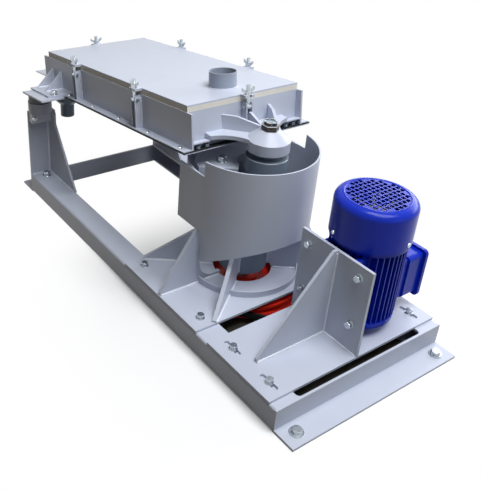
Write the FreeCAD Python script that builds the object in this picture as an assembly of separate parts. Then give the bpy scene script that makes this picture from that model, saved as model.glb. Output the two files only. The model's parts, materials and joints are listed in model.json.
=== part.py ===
import FreeCAD, Part
import math
import os

# Vibrating screen with a crank-driven sieve box on a bolted base frame.
# Millimetres. The origin is on the floor at the centre of the four anchor holes,
# +X runs towards the motor end, -Y is the near side and +Z is up.

V = FreeCAD.Vector
X_AXIS = V(1, 0, 0)
Y_AXIS = V(0, 1, 0)
Z_AXIS = V(0, 0, 1)
NEAR = -1
FAR = 1
REAR = -1
FRONT = 1

# Clearances
RUNNING_FIT = 0.05
SEAT_GAP = 0.3
HOLE_CLEARANCE = 0.5
SAME_PLACE = 0.01

# Base frame of bent channel
BASE_LENGTH = 954.0
BASE_WIDTH = 420.0
BASE_HEIGHT = 48.0
BASE_SHEET = 5.0
BEND_INNER_R = 1.0
SIDE_FLANGE = 53.0
END_CORNER_R = 8.0
FOOT_FLANGE = 48.0
ANCHOR_FROM_WEB = 23.0
ANCHOR_HOLE_R = 6.0
BOLT_FROM_SIDE = 30.0

# Bearing plate and its ribs
DRIVE_SETBACK = 356.0
DECK_SHEET = 5.0
BEARING_PLATE_LENGTH = 256.0
BEARING_PLATE_HOLE_R = 61.6
PLATE_BOLT_EDGE = 28.0
PLATE_BOLT_R = 4.5
RIB_SHEET = 8.0
RIB_END_GAP = 2.0
SIDE_RIB_HEIGHT = 127.0
SIDE_RIB_INNER_R = 116.0
SIDE_RIB_STRIP = 8.0
SIDE_RIB_CORNER_R = 36.0
DIAGONAL_RIB_ANGLE = 53.0
DIAGONAL_RIB_HEIGHT = 119.0
RIB_TOE = 4.0
PLATE_RING_R = 117.0
PLATE_RING_SHEET = 3.5
PLATE_RING_HEIGHT = 13.0

# Bearing housing and drive shaft
HOUSING_R = 50.0
HOUSING_LIFT = 9.0
HOUSING_HEIGHT = 184.0
HOUSING_FLANGE_R = 58.0
HOUSING_FLANGE_T = 12.0
SHAFT_R = 20.0

# Drum guard round the crank
GUARD_R = 128.0
GUARD_SHEET = 3.0
GUARD_REAR_HEIGHT = 121.0
GUARD_FRONT_RISE = 30.5
GUARD_STEP_X = 14.0
GUARD_LOW_START = 59.0
GUARD_LOW_SLOPE = 0.527
GUARD_TAIL = 64.0
CUT_MARGIN = 1.0

# Crank, counterweight and eccentric
CRANK_THROW = 38.0
CRANK_DISC_R = 42.0
CRANK_DISC_T = 27.0
CRANK_DISC_EDGE = 1.5
CRANK_WEB_T = 32.0
CRANK_WEB_R = 30.0
CRANK_GAP = 22.0
PIN_R = 15.0
PIN_COLLAR_R = 24.0
PIN_COLLAR_T = 13.0
WEIGHT_T = 28.0
WEIGHT_R = 112.0
WEIGHT_TIP = (12.0, 46.0)
WEIGHT_SHOULDER = (-29.0, 106.0)
WEIGHT_NOTCH = 32.0
ECCENTRIC_R = 42.0
ECCENTRIC_T = 21.0
CONE_HEIGHT = 18.0
CONE_TOP_R = 18.0
THREAD_R = 10.0
THREAD_END = 2.0
NUT_R = 17.3
NUT_SIDES = 6
NUT_HEIGHT = 11.0
NUT_CROWN_R = 12.5
NUT_CROWN_HEIGHT = 6.0
NUT_SLOT = 4.0

# Belt drive below the plates
PULLEY_R = 130.0
PULLEY_WIDTH = 24.0
PULLEY_DROP = 17.0
PULLEY_HUB_R = 36.0
PULLEY_WEB = 10.0
PULLEY_RIM = 12.0
MOTOR_PULLEY_R = 32.0
BELT_WIDTH = 13.0
BELT_HEIGHT = 8.0
BELT_FLANK = 17.0

# Motor on its bracket
MOTOR_SETBACK = 108.5
MOTOR_PLATE_SETBACK = 106.0
MOTOR_PLATE_LENGTH = 174.0
SLOT_PITCH = 101.0
SLOT_LENGTH = 43.0
SLOT_R = 4.75
MOTOR_PLATE_HOLE_R = 46.0
BRACKET_SHEET = 6.0
BRACKET_HEIGHT = 181.0
BRACKET_GUSSET_REACH = 162.0
MOTOR_SHAFT_HEIGHT = 80.0
MOTOR_FOOT_A = 125.0
MOTOR_FOOT_B = 100.0
MOTOR_FOOT_HOLE_R = 5.0
MOTOR_FOOT_LIFT = 57.5
MOTOR_FOOT_PAD = 16.0
MOTOR_FOOT_T = 9.0
MOTOR_FOOT_INNER = 28.0
MOTOR_FOOT_WEB_X = 38.5
MOTOR_FOOT_WEB_END = 36.5
MOTOR_SHAFT_R = 9.5
MOTOR_SHAFT_LENGTH = 40.0
MOTOR_LIFT = 7.0
MOTOR_BOSS_R = 23.0
MOTOR_CORE_R = 60.0
MOTOR_FIN_R = 71.0
MOTOR_FIN_SHEET = 2.4
MOTOR_FIN_PITCH = 10.0
MOTOR_FIN_ROOT = 2.0
MOTOR_SHIELD_HEIGHT = 26.0
MOTOR_SHIELD_SLOPE = 10.0
MOTOR_FIN_LENGTH = 149.0
MOTOR_REAR_SHIELD = 13.0
COWL_R = 76.0
COWL_OVERLAP = 6.0
COWL_HEIGHT = 78.0
COWL_SHEET = 2.0
COWL_EDGE_R = 15.0
GRILLE_R = 55.0
GRILLE_HOLE = 8.0
GRILLE_PITCH = 10.4
FAN_R = 60.0
FAN_GAP = 4.0
FAN_HEIGHT = 38.0
FAN_SHEET = 2.4
FAN_HUB_WALL = 8.0
FAN_BLADES = 8
TERMINAL_WIDTH = 94.0
TERMINAL_REACH = 129.0
TERMINAL_DEPTH = 45.0
TERMINAL_LIFT = 26.0
TERMINAL_HEIGHT = 105.0
TERMINAL_LID = 7.0
TERMINAL_INSET = 6.0
TERMINAL_CORNER_R = 9.0
TERMINAL_NECK_INSET = 10.0

# Sieve box, in its own tilted frame: u along, y across, w square to the box
BOX_LIFT = 17.8
TAIL_OVERHANG = 57.3
ARM_REACH = 55.05
ARM_DROP = 21.2596
BOX_SIDE_SETBACK = 74.0
BOX_WALL_HEIGHT = 69.3
BOX_SHEET = 4.0
BOX_REAR_SETBACK = 23.0
BOX_FRONT_SETBACK = 15.0
GASKET_HEIGHT = 10.0
GASKET_WIDTH = 26.0
COVER_SHEET = 3.0
COVER_INSET = 1.6
LUG_WIDTH = 22.0
LUG_REACH = 15.0
LUG_SHEET = 5.0
FLANGE_SHEET = 2.0
SIDE_FLANGE_REACH = 19.0
FRONT_ANGLE_HEIGHT = 13.0
FRONT_ANGLE_SHEET = 3.0
PAN_GASKET_T = 2.2
PAN_SHEET = 1.8
PAN_GASKET_OVERHANG = 1.5
PAN_INSET = 1.0
PAN_FRONT_OVERHANG = 2.6
DECK_W = 10.0
DECK_T = 2.0
LIP_LENGTH = 113.0
LIP_INSET = 11.0
SLOT_WINDOW_HEIGHT = 24.0
SLOT_WINDOW_INNER = 14.0
SLOT_WINDOW_INSET = 16.0
SPOUT_SETBACK = 84.9964
SPOUT_R = 28.0
SPOUT_SHEET = 2.0
SPOUT_HEIGHT = 31.0
OUTLET_U = 34.0
OUTLET_INSET = 36.0
OUTLET_COLLAR_R = 32.0
OUTLET_COLLAR_HEIGHT = 34.0
OUTLET_STUB_R = 17.0
OUTLET_SHEET = 2.0
OUTLET_CONE = 15.0
OUTLET_STUB = 29.5

# Clamps round the sieve box
CLAMP_SPACING_U = 260.0
CLAMP_WIDTH = 17.0
CLAMP_DEPTH = 14.5
CLAMP_SHEET = 3.0
CLAMP_TOP_GAP = 1.6
SWING_BOLT_R = 4.0
SWING_BOLT_ABOVE = 18.7
SWING_BOLT_OUT = 9.0
SWING_EYE_R = 5.5
PIVOT_R = 3.0
PIVOT_DROP = 10.3
PIVOT_OVERHANG = 3.0
WING_HUB_R = 6.5
WING_HUB_HEIGHT = 8.0
WING_SPAN = 15.0
WING_SHEET = 3.0
WING_RISE = 13.0

# Drive arm from the box to the eccentric
ARM_SHEET = 8.0
ARM_ABOVE_SHOULDER = 2.0
ARM_HALF_WIDTH = 95.0
ARM_WAIST = 56.0
ARM_WAIST_PLACE = 0.45
ARM_TIP_SETBACK = 8.0
ARM_RIB_SHEET = 6.0
ARM_RIB_Y = 66.0
ARM_RIB_HEIGHT = 28.0
ARM_RIB_FLAT = 0.47
ARM_TIP_HEIGHT = 14.0
FAR_RIB_END = (-9.0, 32.0)
FAR_RIB_TIP = 6.0

# Tail brackets and supports
TAIL_PLATE_SHEET = 4.0
TAIL_PLATE_START = 29.0
TAIL_PLATE_END = 144.0
TAIL_PLATE_TAPER = 15.0
TAIL_PLATE_REACH = 56.0
SLIDE_PLATE_START = 37.0
SLIDE_PLATE_END = 146.0
SLIDE_PLATE_REACH = 80.0
SLIDE_PLATE_GAP = 3.5
TAIL_GUSSET_U = (41.0, 86.0)
TAIL_GUSSET_REACH = 44.0
TAIL_GUSSET_TOP = 46.0
POST_SHEET = 5.0
POST_HEIGHT = 171.6
POST_GUSSET_TOP_DEPTH = 42.0
POST_GUSSET_FOOT_DEPTH = 142.0
POST_GUSSET_DROP = 28.0
POST_GUSSET_INNER = 21.0
CLAMP_BLOCK_X = 20.0
CLAMP_BLOCK_HEIGHT = 25.0
CLAMP_BLOCK_INNER = 12.0
CLAMP_BLOCK_OUTER = 2.0
SUPPORT_SETBACK = 17.0
SUPPORT_REACH = 47.0
SUPPORT_CUP_R = 28.0
SUPPORT_CUP_HEIGHT = 27.4
PAD_R = 26.0

# Places along the base
HALF_LENGTH = BASE_LENGTH / 2
HALF_WIDTH = BASE_WIDTH / 2
DECK_TOP = BASE_HEIGHT + DECK_SHEET
ANCHOR_X = HALF_LENGTH + ANCHOR_FROM_WEB
BOLT_Y = HALF_WIDTH - BOLT_FROM_SIDE
DRIVE_X = HALF_LENGTH - DRIVE_SETBACK
CRANK_X = DRIVE_X + CRANK_THROW
MOTOR_X = HALF_LENGTH - MOTOR_SETBACK
MOTOR_PLATE_CENTRE = HALF_LENGTH - MOTOR_PLATE_SETBACK
RIB_FOOT_R = HALF_WIDTH - RIB_END_GAP
PLATE_BOLT_X = BEARING_PLATE_LENGTH / 2 - PLATE_BOLT_EDGE
POST_TOP = BASE_HEIGHT + POST_HEIGHT
SUPPORT_X = SUPPORT_SETBACK - HALF_LENGTH
SUPPORT_CUP_TOP = POST_TOP + SUPPORT_CUP_HEIGHT

# Heights of the crank train
HOUSING_BOTTOM = DECK_TOP + HOUSING_LIFT
HOUSING_TOP = HOUSING_BOTTOM + HOUSING_HEIGHT
CRANK_WEB_BOTTOM = HOUSING_TOP + CRANK_GAP
CRANK_WEB_TOP = CRANK_WEB_BOTTOM + CRANK_WEB_T
CRANK_DISC_TOP = CRANK_WEB_TOP + CRANK_DISC_T
ECCENTRIC_BOTTOM = CRANK_DISC_TOP + PIN_COLLAR_T
ECCENTRIC_SHOULDER = ECCENTRIC_BOTTOM + ECCENTRIC_T
CONE_TOP = ECCENTRIC_SHOULDER + CONE_HEIGHT
NUT_TOP = CONE_TOP + SEAT_GAP + NUT_HEIGHT + NUT_CROWN_HEIGHT
SIDE_RIB_TOP = DECK_TOP + SIDE_RIB_HEIGHT
GUARD_REAR_RIM = SIDE_RIB_TOP + GUARD_REAR_HEIGHT
GUARD_FRONT_RIM = GUARD_REAR_RIM + GUARD_FRONT_RISE
PULLEY_TOP = DECK_TOP - PULLEY_DROP
PULLEY_BOTTOM = PULLEY_TOP - PULLEY_WIDTH
BELT_Z = PULLEY_BOTTOM + PULLEY_WIDTH / 2

# Heights of the motor
MOTOR_FOOT_LOW_Z = DECK_TOP + MOTOR_FOOT_LIFT
MOTOR_SHOULDER_Z = DECK_TOP + MOTOR_LIFT
MOTOR_SHIELD_TOP = MOTOR_SHOULDER_Z + MOTOR_SHIELD_HEIGHT
MOTOR_BODY_TOP = MOTOR_SHIELD_TOP + MOTOR_FIN_LENGTH
MOTOR_REAR_TOP = MOTOR_BODY_TOP + MOTOR_REAR_SHIELD
COWL_BOTTOM = MOTOR_REAR_TOP - COWL_OVERLAP
COWL_TOP = COWL_BOTTOM + COWL_HEIGHT
FAN_BOTTOM = MOTOR_REAR_TOP + FAN_GAP
FAN_TOP = FAN_BOTTOM + FAN_HEIGHT
TERMINAL_BOTTOM = DECK_TOP + TERMINAL_LIFT
TERMINAL_TOP = TERMINAL_BOTTOM + TERMINAL_HEIGHT
TERMINAL_NEAR = MOTOR_SHAFT_HEIGHT + TERMINAL_REACH - TERMINAL_DEPTH

# Sieve box between its supports and the crank
ARM_TOP = ECCENTRIC_SHOULDER + ARM_ABOVE_SHOULDER
BOX_ORIGIN_X = SUPPORT_X - TAIL_OVERHANG
BOX_ORIGIN_Z = SUPPORT_CUP_TOP + BOX_LIFT
BOX_RUN = CRANK_X - ARM_REACH - BOX_ORIGIN_X
BOX_RISE = ARM_TOP - ARM_DROP - BOX_ORIGIN_Z
BOX_LENGTH = math.hypot(BOX_RUN, BOX_RISE)
TILT = math.atan2(BOX_RISE, BOX_RUN)
BOX_HALF = HALF_WIDTH - BOX_SIDE_SETBACK
BOX_INNER = BOX_HALF - BOX_SHEET
REAR_WALL_U = BOX_REAR_SETBACK
REAR_INSIDE_U = REAR_WALL_U + BOX_SHEET
FRONT_WALL_U = BOX_LENGTH - BOX_FRONT_SETBACK
FRONT_INSIDE_U = FRONT_WALL_U - BOX_SHEET
COVER_HALF = BOX_HALF - COVER_INSET
COVER_BOTTOM = BOX_WALL_HEIGHT + GASKET_HEIGHT
COVER_TOP = COVER_BOTTOM + COVER_SHEET
PAN_BOTTOM = -PAN_GASKET_T - PAN_SHEET
PAN_FRONT = BOX_LENGTH + PAN_FRONT_OVERHANG
PAN_GASKET_HALF = BOX_HALF + SIDE_FLANGE_REACH + PAN_GASKET_OVERHANG
PAN_HALF = BOX_HALF + SIDE_FLANGE_REACH - PAN_INSET
OUTLET_Y = BOX_HALF - OUTLET_INSET
SPOUT_U = BOX_LENGTH - SPOUT_SETBACK
CLAMP_CENTRE_U = BOX_LENGTH / 2
CLAMP_TOP = BOX_WALL_HEIGHT - CLAMP_TOP_GAP
PIVOT_W = BOX_WALL_HEIGHT - PIVOT_DROP
SWING_BOLT_TOP = COVER_TOP + SWING_BOLT_ABOVE
ARM_RIB_TOP = ARM_TOP + ARM_RIB_HEIGHT
ARM_TIP_Z = ARM_TOP + ARM_TIP_HEIGHT
TAIL_PLATE_Y = BOX_HALF + TAIL_PLATE_REACH
SLIDE_PLATE_Y = BOX_HALF + SLIDE_PLATE_REACH
SUPPORT_Y = BOX_HALF + SUPPORT_REACH


# Building blocks

def block(x0, x1, y0, y1, z0, z1):
    """Box between two corners."""
    return Part.makeBox(x1 - x0, y1 - y0, z1 - z0, V(x0, y0, z0))


def rod(x, y, z0, z1, r):
    """Upright cylinder."""
    return Part.makeCylinder(r, z1 - z0, V(x, y, z0))


def tube(x, y, z0, z1, r, wall):
    """Upright tube."""
    return rod(x, y, z0, z1, r).cut(rod(x, y, z0, z1, r - wall))


def turned(x, y, profile):
    """Solid of revolution about an upright axis from (radius, height) points."""
    points = [V(x + r, y, z) for r, z in profile]
    face = Part.Face(Part.makePolygon(points + points[:1]))
    return face.revolve(V(x, y, 0), Z_AXIS, 360)


def rounded(points, radii):
    """Closed wire through 3-D points in one plane, each corner rounded by its radius."""
    count = len(points)
    starts, ends, middles = [], [], []
    for i in range(count):
        corner = points[i]
        back = (points[i - 1] - corner).normalize()
        ahead = (points[(i + 1) % count] - corner).normalize()
        half = back.getAngle(ahead) / 2
        reach = radii[i] / math.tan(half)
        centre_way = (back + ahead).normalize()
        starts.append(corner + back * reach)
        ends.append(corner + ahead * reach)
        middles.append(corner + centre_way * (radii[i] / math.sin(half) - radii[i]))
    edges = []
    for i in range(count):
        if radii[i] > 0:
            edges.append(Part.Arc(starts[i], middles[i], ends[i]).toShape())
        run_end = starts[(i + 1) % count]
        if ends[i].distanceToPoint(run_end) > SAME_PLACE:
            edges.append(Part.LineSegment(ends[i], run_end).toShape())
    return Part.Wire(edges)


def prism(points, sweep, radii=None):
    """Flat outline swept along a vector, with rounded corners where radii are given."""
    wire = rounded(points, radii) if radii else Part.makePolygon(points + points[:1])
    return Part.Face(wire).extrude(sweep)


def slot(x, y, z0, z1, length, r):
    """Upright slot that runs along X."""
    reach = length / 2 - r
    middle = block(x - reach, x + reach, y - r, y + r, z0, z1)
    return middle.fuse([rod(x - reach, y, z0, z1, r), rod(x + reach, y, z0, z1, r)]).removeSplitter()


def mirrored(shape):
    """The same shape on the other side of the centre plane."""
    return shape.mirror(V(0, 0, 0), Y_AXIS)


def both_sides(shape):
    """The shape and its mirror image, as one compound of separate solids."""
    return Part.makeCompound([shape, mirrored(shape)])


def turned_about(shape, x, y, degrees):
    """Copy turned about an upright axis."""
    copy = shape.copy()
    copy.rotate(V(x, y, 0), Z_AXIS, degrees)
    return copy


def in_box(shape):
    """Moves a shape from the sieve box's own frame to its tilted place."""
    copy = shape.copy()
    copy.rotate(V(0, 0, 0), Y_AXIS, -math.degrees(TILT))
    copy.translate(V(BOX_ORIGIN_X, 0, BOX_ORIGIN_Z))
    return copy


def box_point(u, w):
    """Place in the frame of the part of a point of the box's centre plane."""
    x = BOX_ORIGIN_X + u * math.cos(TILT) - w * math.sin(TILT)
    z = BOX_ORIGIN_Z + u * math.sin(TILT) + w * math.cos(TILT)
    return x, z


# Base frame

def side_member(side):
    """Channel with its web outside, drilled for the plate bolts."""
    start = -HALF_LENGTH + BASE_SHEET
    outer = HALF_WIDTH
    inner = outer - SIDE_FLANGE
    outline = [
        V(start, outer, 0), V(start, outer, BASE_HEIGHT),
        V(start, inner, BASE_HEIGHT), V(start, inner, BASE_HEIGHT - BASE_SHEET),
        V(start, outer - BASE_SHEET, BASE_HEIGHT - BASE_SHEET),
        V(start, outer - BASE_SHEET, BASE_SHEET), V(start, inner, BASE_SHEET), V(start, inner, 0),
    ]
    radii = [BASE_SHEET, BASE_SHEET, 0, 0, BEND_INNER_R, BEND_INNER_R, 0, 0]
    member = prism(outline, V(BASE_LENGTH - 2 * BASE_SHEET, 0, 0), radii)
    places = []
    for step in (-1, 1):
        places.append(DRIVE_X + step * PLATE_BOLT_X)
        places.append(MOTOR_PLATE_CENTRE + step * SLOT_PITCH / 2)
    flange_z = BASE_HEIGHT - BASE_SHEET
    member = member.cut([rod(x, BOLT_Y, flange_z, BASE_HEIGHT, PLATE_BOLT_R) for x in places])
    return member if side == FAR else mirrored(member)


def cross_member(end):
    """End web with a foot flange outside and a small fillet to each side flange, at the motor end."""
    web_x = HALF_LENGTH - BASE_SHEET
    fill_z = BASE_HEIGHT - BASE_SHEET
    fill_y = HALF_WIDTH - SIDE_FLANGE
    web = block(web_x, HALF_LENGTH, -HALF_WIDTH, HALF_WIDTH, 0, BASE_HEIGHT)
    foot = block(HALF_LENGTH, HALF_LENGTH + FOOT_FLANGE, -HALF_WIDTH, HALF_WIDTH, 0, BASE_SHEET)
    fill = corner_fill(web_x, fill_y, fill_z)
    member = web.fuse([foot, fill, mirrored(fill)]).removeSplitter()
    member = member.cut([rod(ANCHOR_X, side * BOLT_Y, 0, BASE_SHEET, ANCHOR_HOLE_R) for side in (NEAR, FAR)])
    return member if end == FRONT else turned_about(member, 0, 0, 180)


def corner_fill(x, y, z):
    """Rounded inside corner between the end web and the far side flange."""
    square = block(x - END_CORNER_R, x, y - END_CORNER_R, y, z, BASE_HEIGHT)
    return square.cut(rod(x - END_CORNER_R, y - END_CORNER_R, z, BASE_HEIGHT, END_CORNER_R))


# Bearing plate, ribs, ring, housing

def bearing_plate():
    """Plate that carries the drum and the bearing housing."""
    half = BEARING_PLATE_LENGTH / 2
    plate = block(DRIVE_X - half, DRIVE_X + half, -HALF_WIDTH, HALF_WIDTH, BASE_HEIGHT, DECK_TOP)
    holes = [rod(DRIVE_X, 0, BASE_HEIGHT, DECK_TOP, BEARING_PLATE_HOLE_R)]
    for step in (-1, 1):
        for side in (NEAR, FAR):
            x = DRIVE_X + step * PLATE_BOLT_X
            holes.append(rod(x, side * BOLT_Y, BASE_HEIGHT, DECK_TOP, PLATE_BOLT_R))
    return plate.cut(holes)


def side_rib():
    """Far rib that carries the drum wall, its inner edge cut back to a low strip."""
    x = DRIVE_X - RIB_SHEET / 2
    strip_z = DECK_TOP + SIDE_RIB_STRIP
    outline = [
        V(x, RIB_FOOT_R, DECK_TOP), V(x, RIB_FOOT_R, DECK_TOP + RIB_TOE),
        V(x, GUARD_R, SIDE_RIB_TOP), V(x, SIDE_RIB_INNER_R, SIDE_RIB_TOP),
        V(x, SIDE_RIB_INNER_R, strip_z), V(x, BEARING_PLATE_HOLE_R, strip_z),
        V(x, BEARING_PLATE_HOLE_R, DECK_TOP),
    ]
    return prism(outline, V(RIB_SHEET, 0, 0), [0, 0, 0, 0, SIDE_RIB_CORNER_R, 0, 0])


def diagonal_rib():
    """Rib along +X from the plate up to the bearing housing."""
    y = -RIB_SHEET / 2
    top = DECK_TOP + DIAGONAL_RIB_HEIGHT
    outline = [
        V(DRIVE_X + RIB_FOOT_R, y, DECK_TOP), V(DRIVE_X + RIB_FOOT_R, y, DECK_TOP + RIB_TOE),
        V(DRIVE_X, y, top + HOUSING_R * rib_slope()), V(DRIVE_X, y, HOUSING_BOTTOM),
        V(DRIVE_X + BEARING_PLATE_HOLE_R, y, HOUSING_BOTTOM), V(DRIVE_X + BEARING_PLATE_HOLE_R, y, DECK_TOP),
    ]
    return prism(outline, V(0, RIB_SHEET, 0)).cut(rod(DRIVE_X, 0, 0, HOUSING_TOP, HOUSING_R))


def rib_slope():
    """Rise of a diagonal rib's top edge for each millimetre towards the housing."""
    return (DIAGONAL_RIB_HEIGHT - RIB_TOE) / (RIB_FOOT_R - HOUSING_R)


def diagonal_ribs():
    """Four diagonal ribs, two towards each end of the base."""
    rib = diagonal_rib()
    angles = [DIAGONAL_RIB_ANGLE, 180 - DIAGONAL_RIB_ANGLE, 180 + DIAGONAL_RIB_ANGLE, -DIAGONAL_RIB_ANGLE]
    return Part.makeCompound([turned_about(rib, DRIVE_X, 0, angle) for angle in angles])


def plate_ring(ribs):
    """Low ring on the plate, cut where the ribs cross it."""
    ring = tube(DRIVE_X, 0, DECK_TOP, DECK_TOP + PLATE_RING_HEIGHT, PLATE_RING_R, PLATE_RING_SHEET)
    return ring.cut(ribs)


def bearing_housing():
    """Housing of the drive shaft's bearings with a flanged cap at each end."""
    bore = SHAFT_R + RUNNING_FIT
    cap_bottom = HOUSING_TOP - HOUSING_FLANGE_T
    profile = [
        (bore, HOUSING_BOTTOM), (HOUSING_R, HOUSING_BOTTOM), (HOUSING_R, cap_bottom),
        (HOUSING_FLANGE_R, cap_bottom), (HOUSING_FLANGE_R, HOUSING_TOP), (bore, HOUSING_TOP),
    ]
    return turned(DRIVE_X, 0, profile)


# Drum guard

def guard_outline(r):
    """U-shaped plan of the drum wall: a half circle with two straight tails to the rear."""
    tail_x = DRIVE_X - GUARD_TAIL
    arc = Part.Arc(V(DRIVE_X, -r, 0), V(DRIVE_X + r, 0, 0), V(DRIVE_X, r, 0)).toShape()
    far_tail = Part.LineSegment(V(DRIVE_X, r, 0), V(tail_x, r, 0)).toShape()
    end = Part.LineSegment(V(tail_x, r, 0), V(tail_x, -r, 0)).toShape()
    near_tail = Part.LineSegment(V(tail_x, -r, 0), V(DRIVE_X, -r, 0)).toShape()
    return Part.Face(Part.Wire([arc, far_tail, end, near_tail]))


def drum_guard():
    """Front wall of the drum: higher rim and a slanted lower edge in front, tails behind."""
    top = V(0, 0, GUARD_FRONT_RIM)
    shell = guard_outline(GUARD_R).extrude(top).cut(guard_outline(GUARD_R - GUARD_SHEET).extrude(top))
    step_x = DRIVE_X + GUARD_STEP_X
    back_x = DRIVE_X - GUARD_TAIL - CUT_MARGIN
    low_x = DRIVE_X + GUARD_R + CUT_MARGIN
    step_z = DECK_TOP + GUARD_LOW_START
    low_z = step_z + (low_x - step_x) * GUARD_LOW_SLOPE
    side_line = [
        V(back_x, -GUARD_R, SIDE_RIB_TOP), V(step_x, -GUARD_R, SIDE_RIB_TOP),
        V(step_x, -GUARD_R, step_z), V(low_x, -GUARD_R, low_z),
        V(low_x, -GUARD_R, GUARD_FRONT_RIM), V(step_x, -GUARD_R, GUARD_FRONT_RIM),
        V(step_x, -GUARD_R, GUARD_REAR_RIM), V(back_x, -GUARD_R, GUARD_REAR_RIM),
    ]
    shell = shell.common(prism(side_line, V(0, 2 * GUARD_R, 0)))
    inner = GUARD_R - GUARD_SHEET
    return shell.cut(block(back_x, DRIVE_X - GUARD_TAIL + GUARD_SHEET, -inner, inner, 0, GUARD_FRONT_RIM))


def drum_rear_wall():
    """Half-round rear wall that closes the drum between the tails."""
    inner = GUARD_R - GUARD_SHEET
    ring = tube(DRIVE_X, 0, SIDE_RIB_TOP, GUARD_REAR_RIM, GUARD_R, GUARD_SHEET)
    return ring.common(block(DRIVE_X - GUARD_R, DRIVE_X, -inner, inner, 0, GUARD_FRONT_RIM))


# Crank train

def drive_shaft():
    """Upright shaft from the pulley to the crank."""
    return rod(DRIVE_X, 0, PULLEY_BOTTOM, CRANK_WEB_BOTTOM, SHAFT_R)


def grooved_rim(x, y, r, web_profile):
    """Pulley turned from a hub and web profile with one belt groove in its rim."""
    wheel = turned(x, y, web_profile)
    return wheel.cut(belt_groove(x, y, r))


def belt_groove(x, y, r):
    """Ring that the belt fills in a pulley, with its running clearance."""
    half = BELT_WIDTH / 2 + SEAT_GAP
    depth = BELT_HEIGHT + SEAT_GAP
    inner_half = half - depth * math.tan(math.radians(BELT_FLANK))
    profile = [
        (r - depth, BELT_Z - inner_half), (r + CUT_MARGIN, BELT_Z - half),
        (r + CUT_MARGIN, BELT_Z + half), (r - depth, BELT_Z + inner_half),
    ]
    return turned(x, y, profile)


def driven_pulley():
    """Large pulley: rim, thin web and hub, fixed on the drive shaft."""
    rim_inner = PULLEY_R - PULLEY_RIM - BELT_HEIGHT
    web_top = BELT_Z + PULLEY_WEB / 2
    web_bottom = BELT_Z - PULLEY_WEB / 2
    profile = [
        (SHAFT_R, PULLEY_BOTTOM), (PULLEY_HUB_R, PULLEY_BOTTOM), (PULLEY_HUB_R, web_bottom),
        (rim_inner, web_bottom), (rim_inner, PULLEY_BOTTOM), (PULLEY_R, PULLEY_BOTTOM),
        (PULLEY_R, PULLEY_TOP), (rim_inner, PULLEY_TOP), (rim_inner, web_top),
        (PULLEY_HUB_R, web_top), (PULLEY_HUB_R, PULLEY_TOP), (SHAFT_R, PULLEY_TOP),
    ]
    return grooved_rim(DRIVE_X, 0, PULLEY_R, profile)


def crank_disc():
    """Web on the shaft, round disc, collar and crank pin, as one forging."""
    top = CRANK_WEB_TOP
    length = CRANK_THROW + 2 * CRANK_WEB_R
    web = slot(DRIVE_X + CRANK_THROW / 2, 0, CRANK_WEB_BOTTOM, top, length, CRANK_WEB_R)
    disc = rod(CRANK_X, 0, top, CRANK_DISC_TOP, CRANK_DISC_R)
    collar = rod(CRANK_X, 0, CRANK_DISC_TOP, ECCENTRIC_BOTTOM - SEAT_GAP, PIN_COLLAR_R)
    pin = rod(CRANK_X, 0, CRANK_DISC_TOP, CONE_TOP, PIN_R)
    thread = rod(CRANK_X, 0, CONE_TOP, NUT_TOP - THREAD_END, THREAD_R)
    shape = web.fuse([disc, collar, pin, thread]).removeSplitter()
    edges = [e for e in shape.Edges if round_edge_at(e, CRANK_DISC_R, CRANK_DISC_TOP)]
    return shape.makeChamfer(CRANK_DISC_EDGE, edges)


def round_edge_at(edge, r, z):
    """True for a full circle of one radius at one height."""
    box = edge.BoundBox
    is_circle = isinstance(edge.Curve, Part.Circle) and abs(edge.Curve.Radius - r) < SAME_PLACE
    return is_circle and abs(box.ZMin - z) < SAME_PLACE and abs(box.ZMax - z) < SAME_PLACE


def counterweight():
    """Crescent opposite the crank pin with straight flanks, cut to fit the web."""
    z = CRANK_WEB_BOTTOM
    tip_x, tip_y = WEIGHT_TIP
    side_x, side_y = WEIGHT_SHOULDER
    flank = [
        V(DRIVE_X - WEIGHT_NOTCH, 0, z), V(DRIVE_X + tip_x, tip_y, z), V(DRIVE_X + side_x, side_y, z),
        V(DRIVE_X + side_x, WEIGHT_R, z), V(DRIVE_X - WEIGHT_R, WEIGHT_R, z),
    ]
    outline = flank + [V(p.x, -p.y, z) for p in reversed(flank[1:])]
    weight = prism(outline, V(0, 0, WEIGHT_T)).common(rod(DRIVE_X, 0, z, z + WEIGHT_T, WEIGHT_R))
    return weight.cut(rod(DRIVE_X, 0, z, z + WEIGHT_T, CRANK_WEB_R))


def crank_nut():
    """Castle nut on the crank pin."""
    bottom = CONE_TOP + SEAT_GAP
    top = NUT_TOP - NUT_CROWN_HEIGHT
    turn = 360 / NUT_SIDES
    corners = []
    for i in range(NUT_SIDES):
        angle = math.radians(turn * i)
        corners.append(V(CRANK_X + NUT_R * math.cos(angle), NUT_R * math.sin(angle), bottom))
    nut = prism(corners, V(0, 0, top - bottom))
    crown = rod(CRANK_X, 0, top, top + NUT_CROWN_HEIGHT, NUT_CROWN_R)
    nut = nut.fuse(crown).removeSplitter()
    cutters = [rod(CRANK_X, 0, bottom, NUT_TOP, THREAD_R)]
    for i in range(NUT_SIDES // 2):
        cutter = block(CRANK_X - NUT_R, CRANK_X + NUT_R, -NUT_SLOT / 2, NUT_SLOT / 2, top, NUT_TOP)
        cutters.append(turned_about(cutter, CRANK_X, 0, turn * (i + 1 / 2)))
    return nut.cut(cutters)


# Belt

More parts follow.
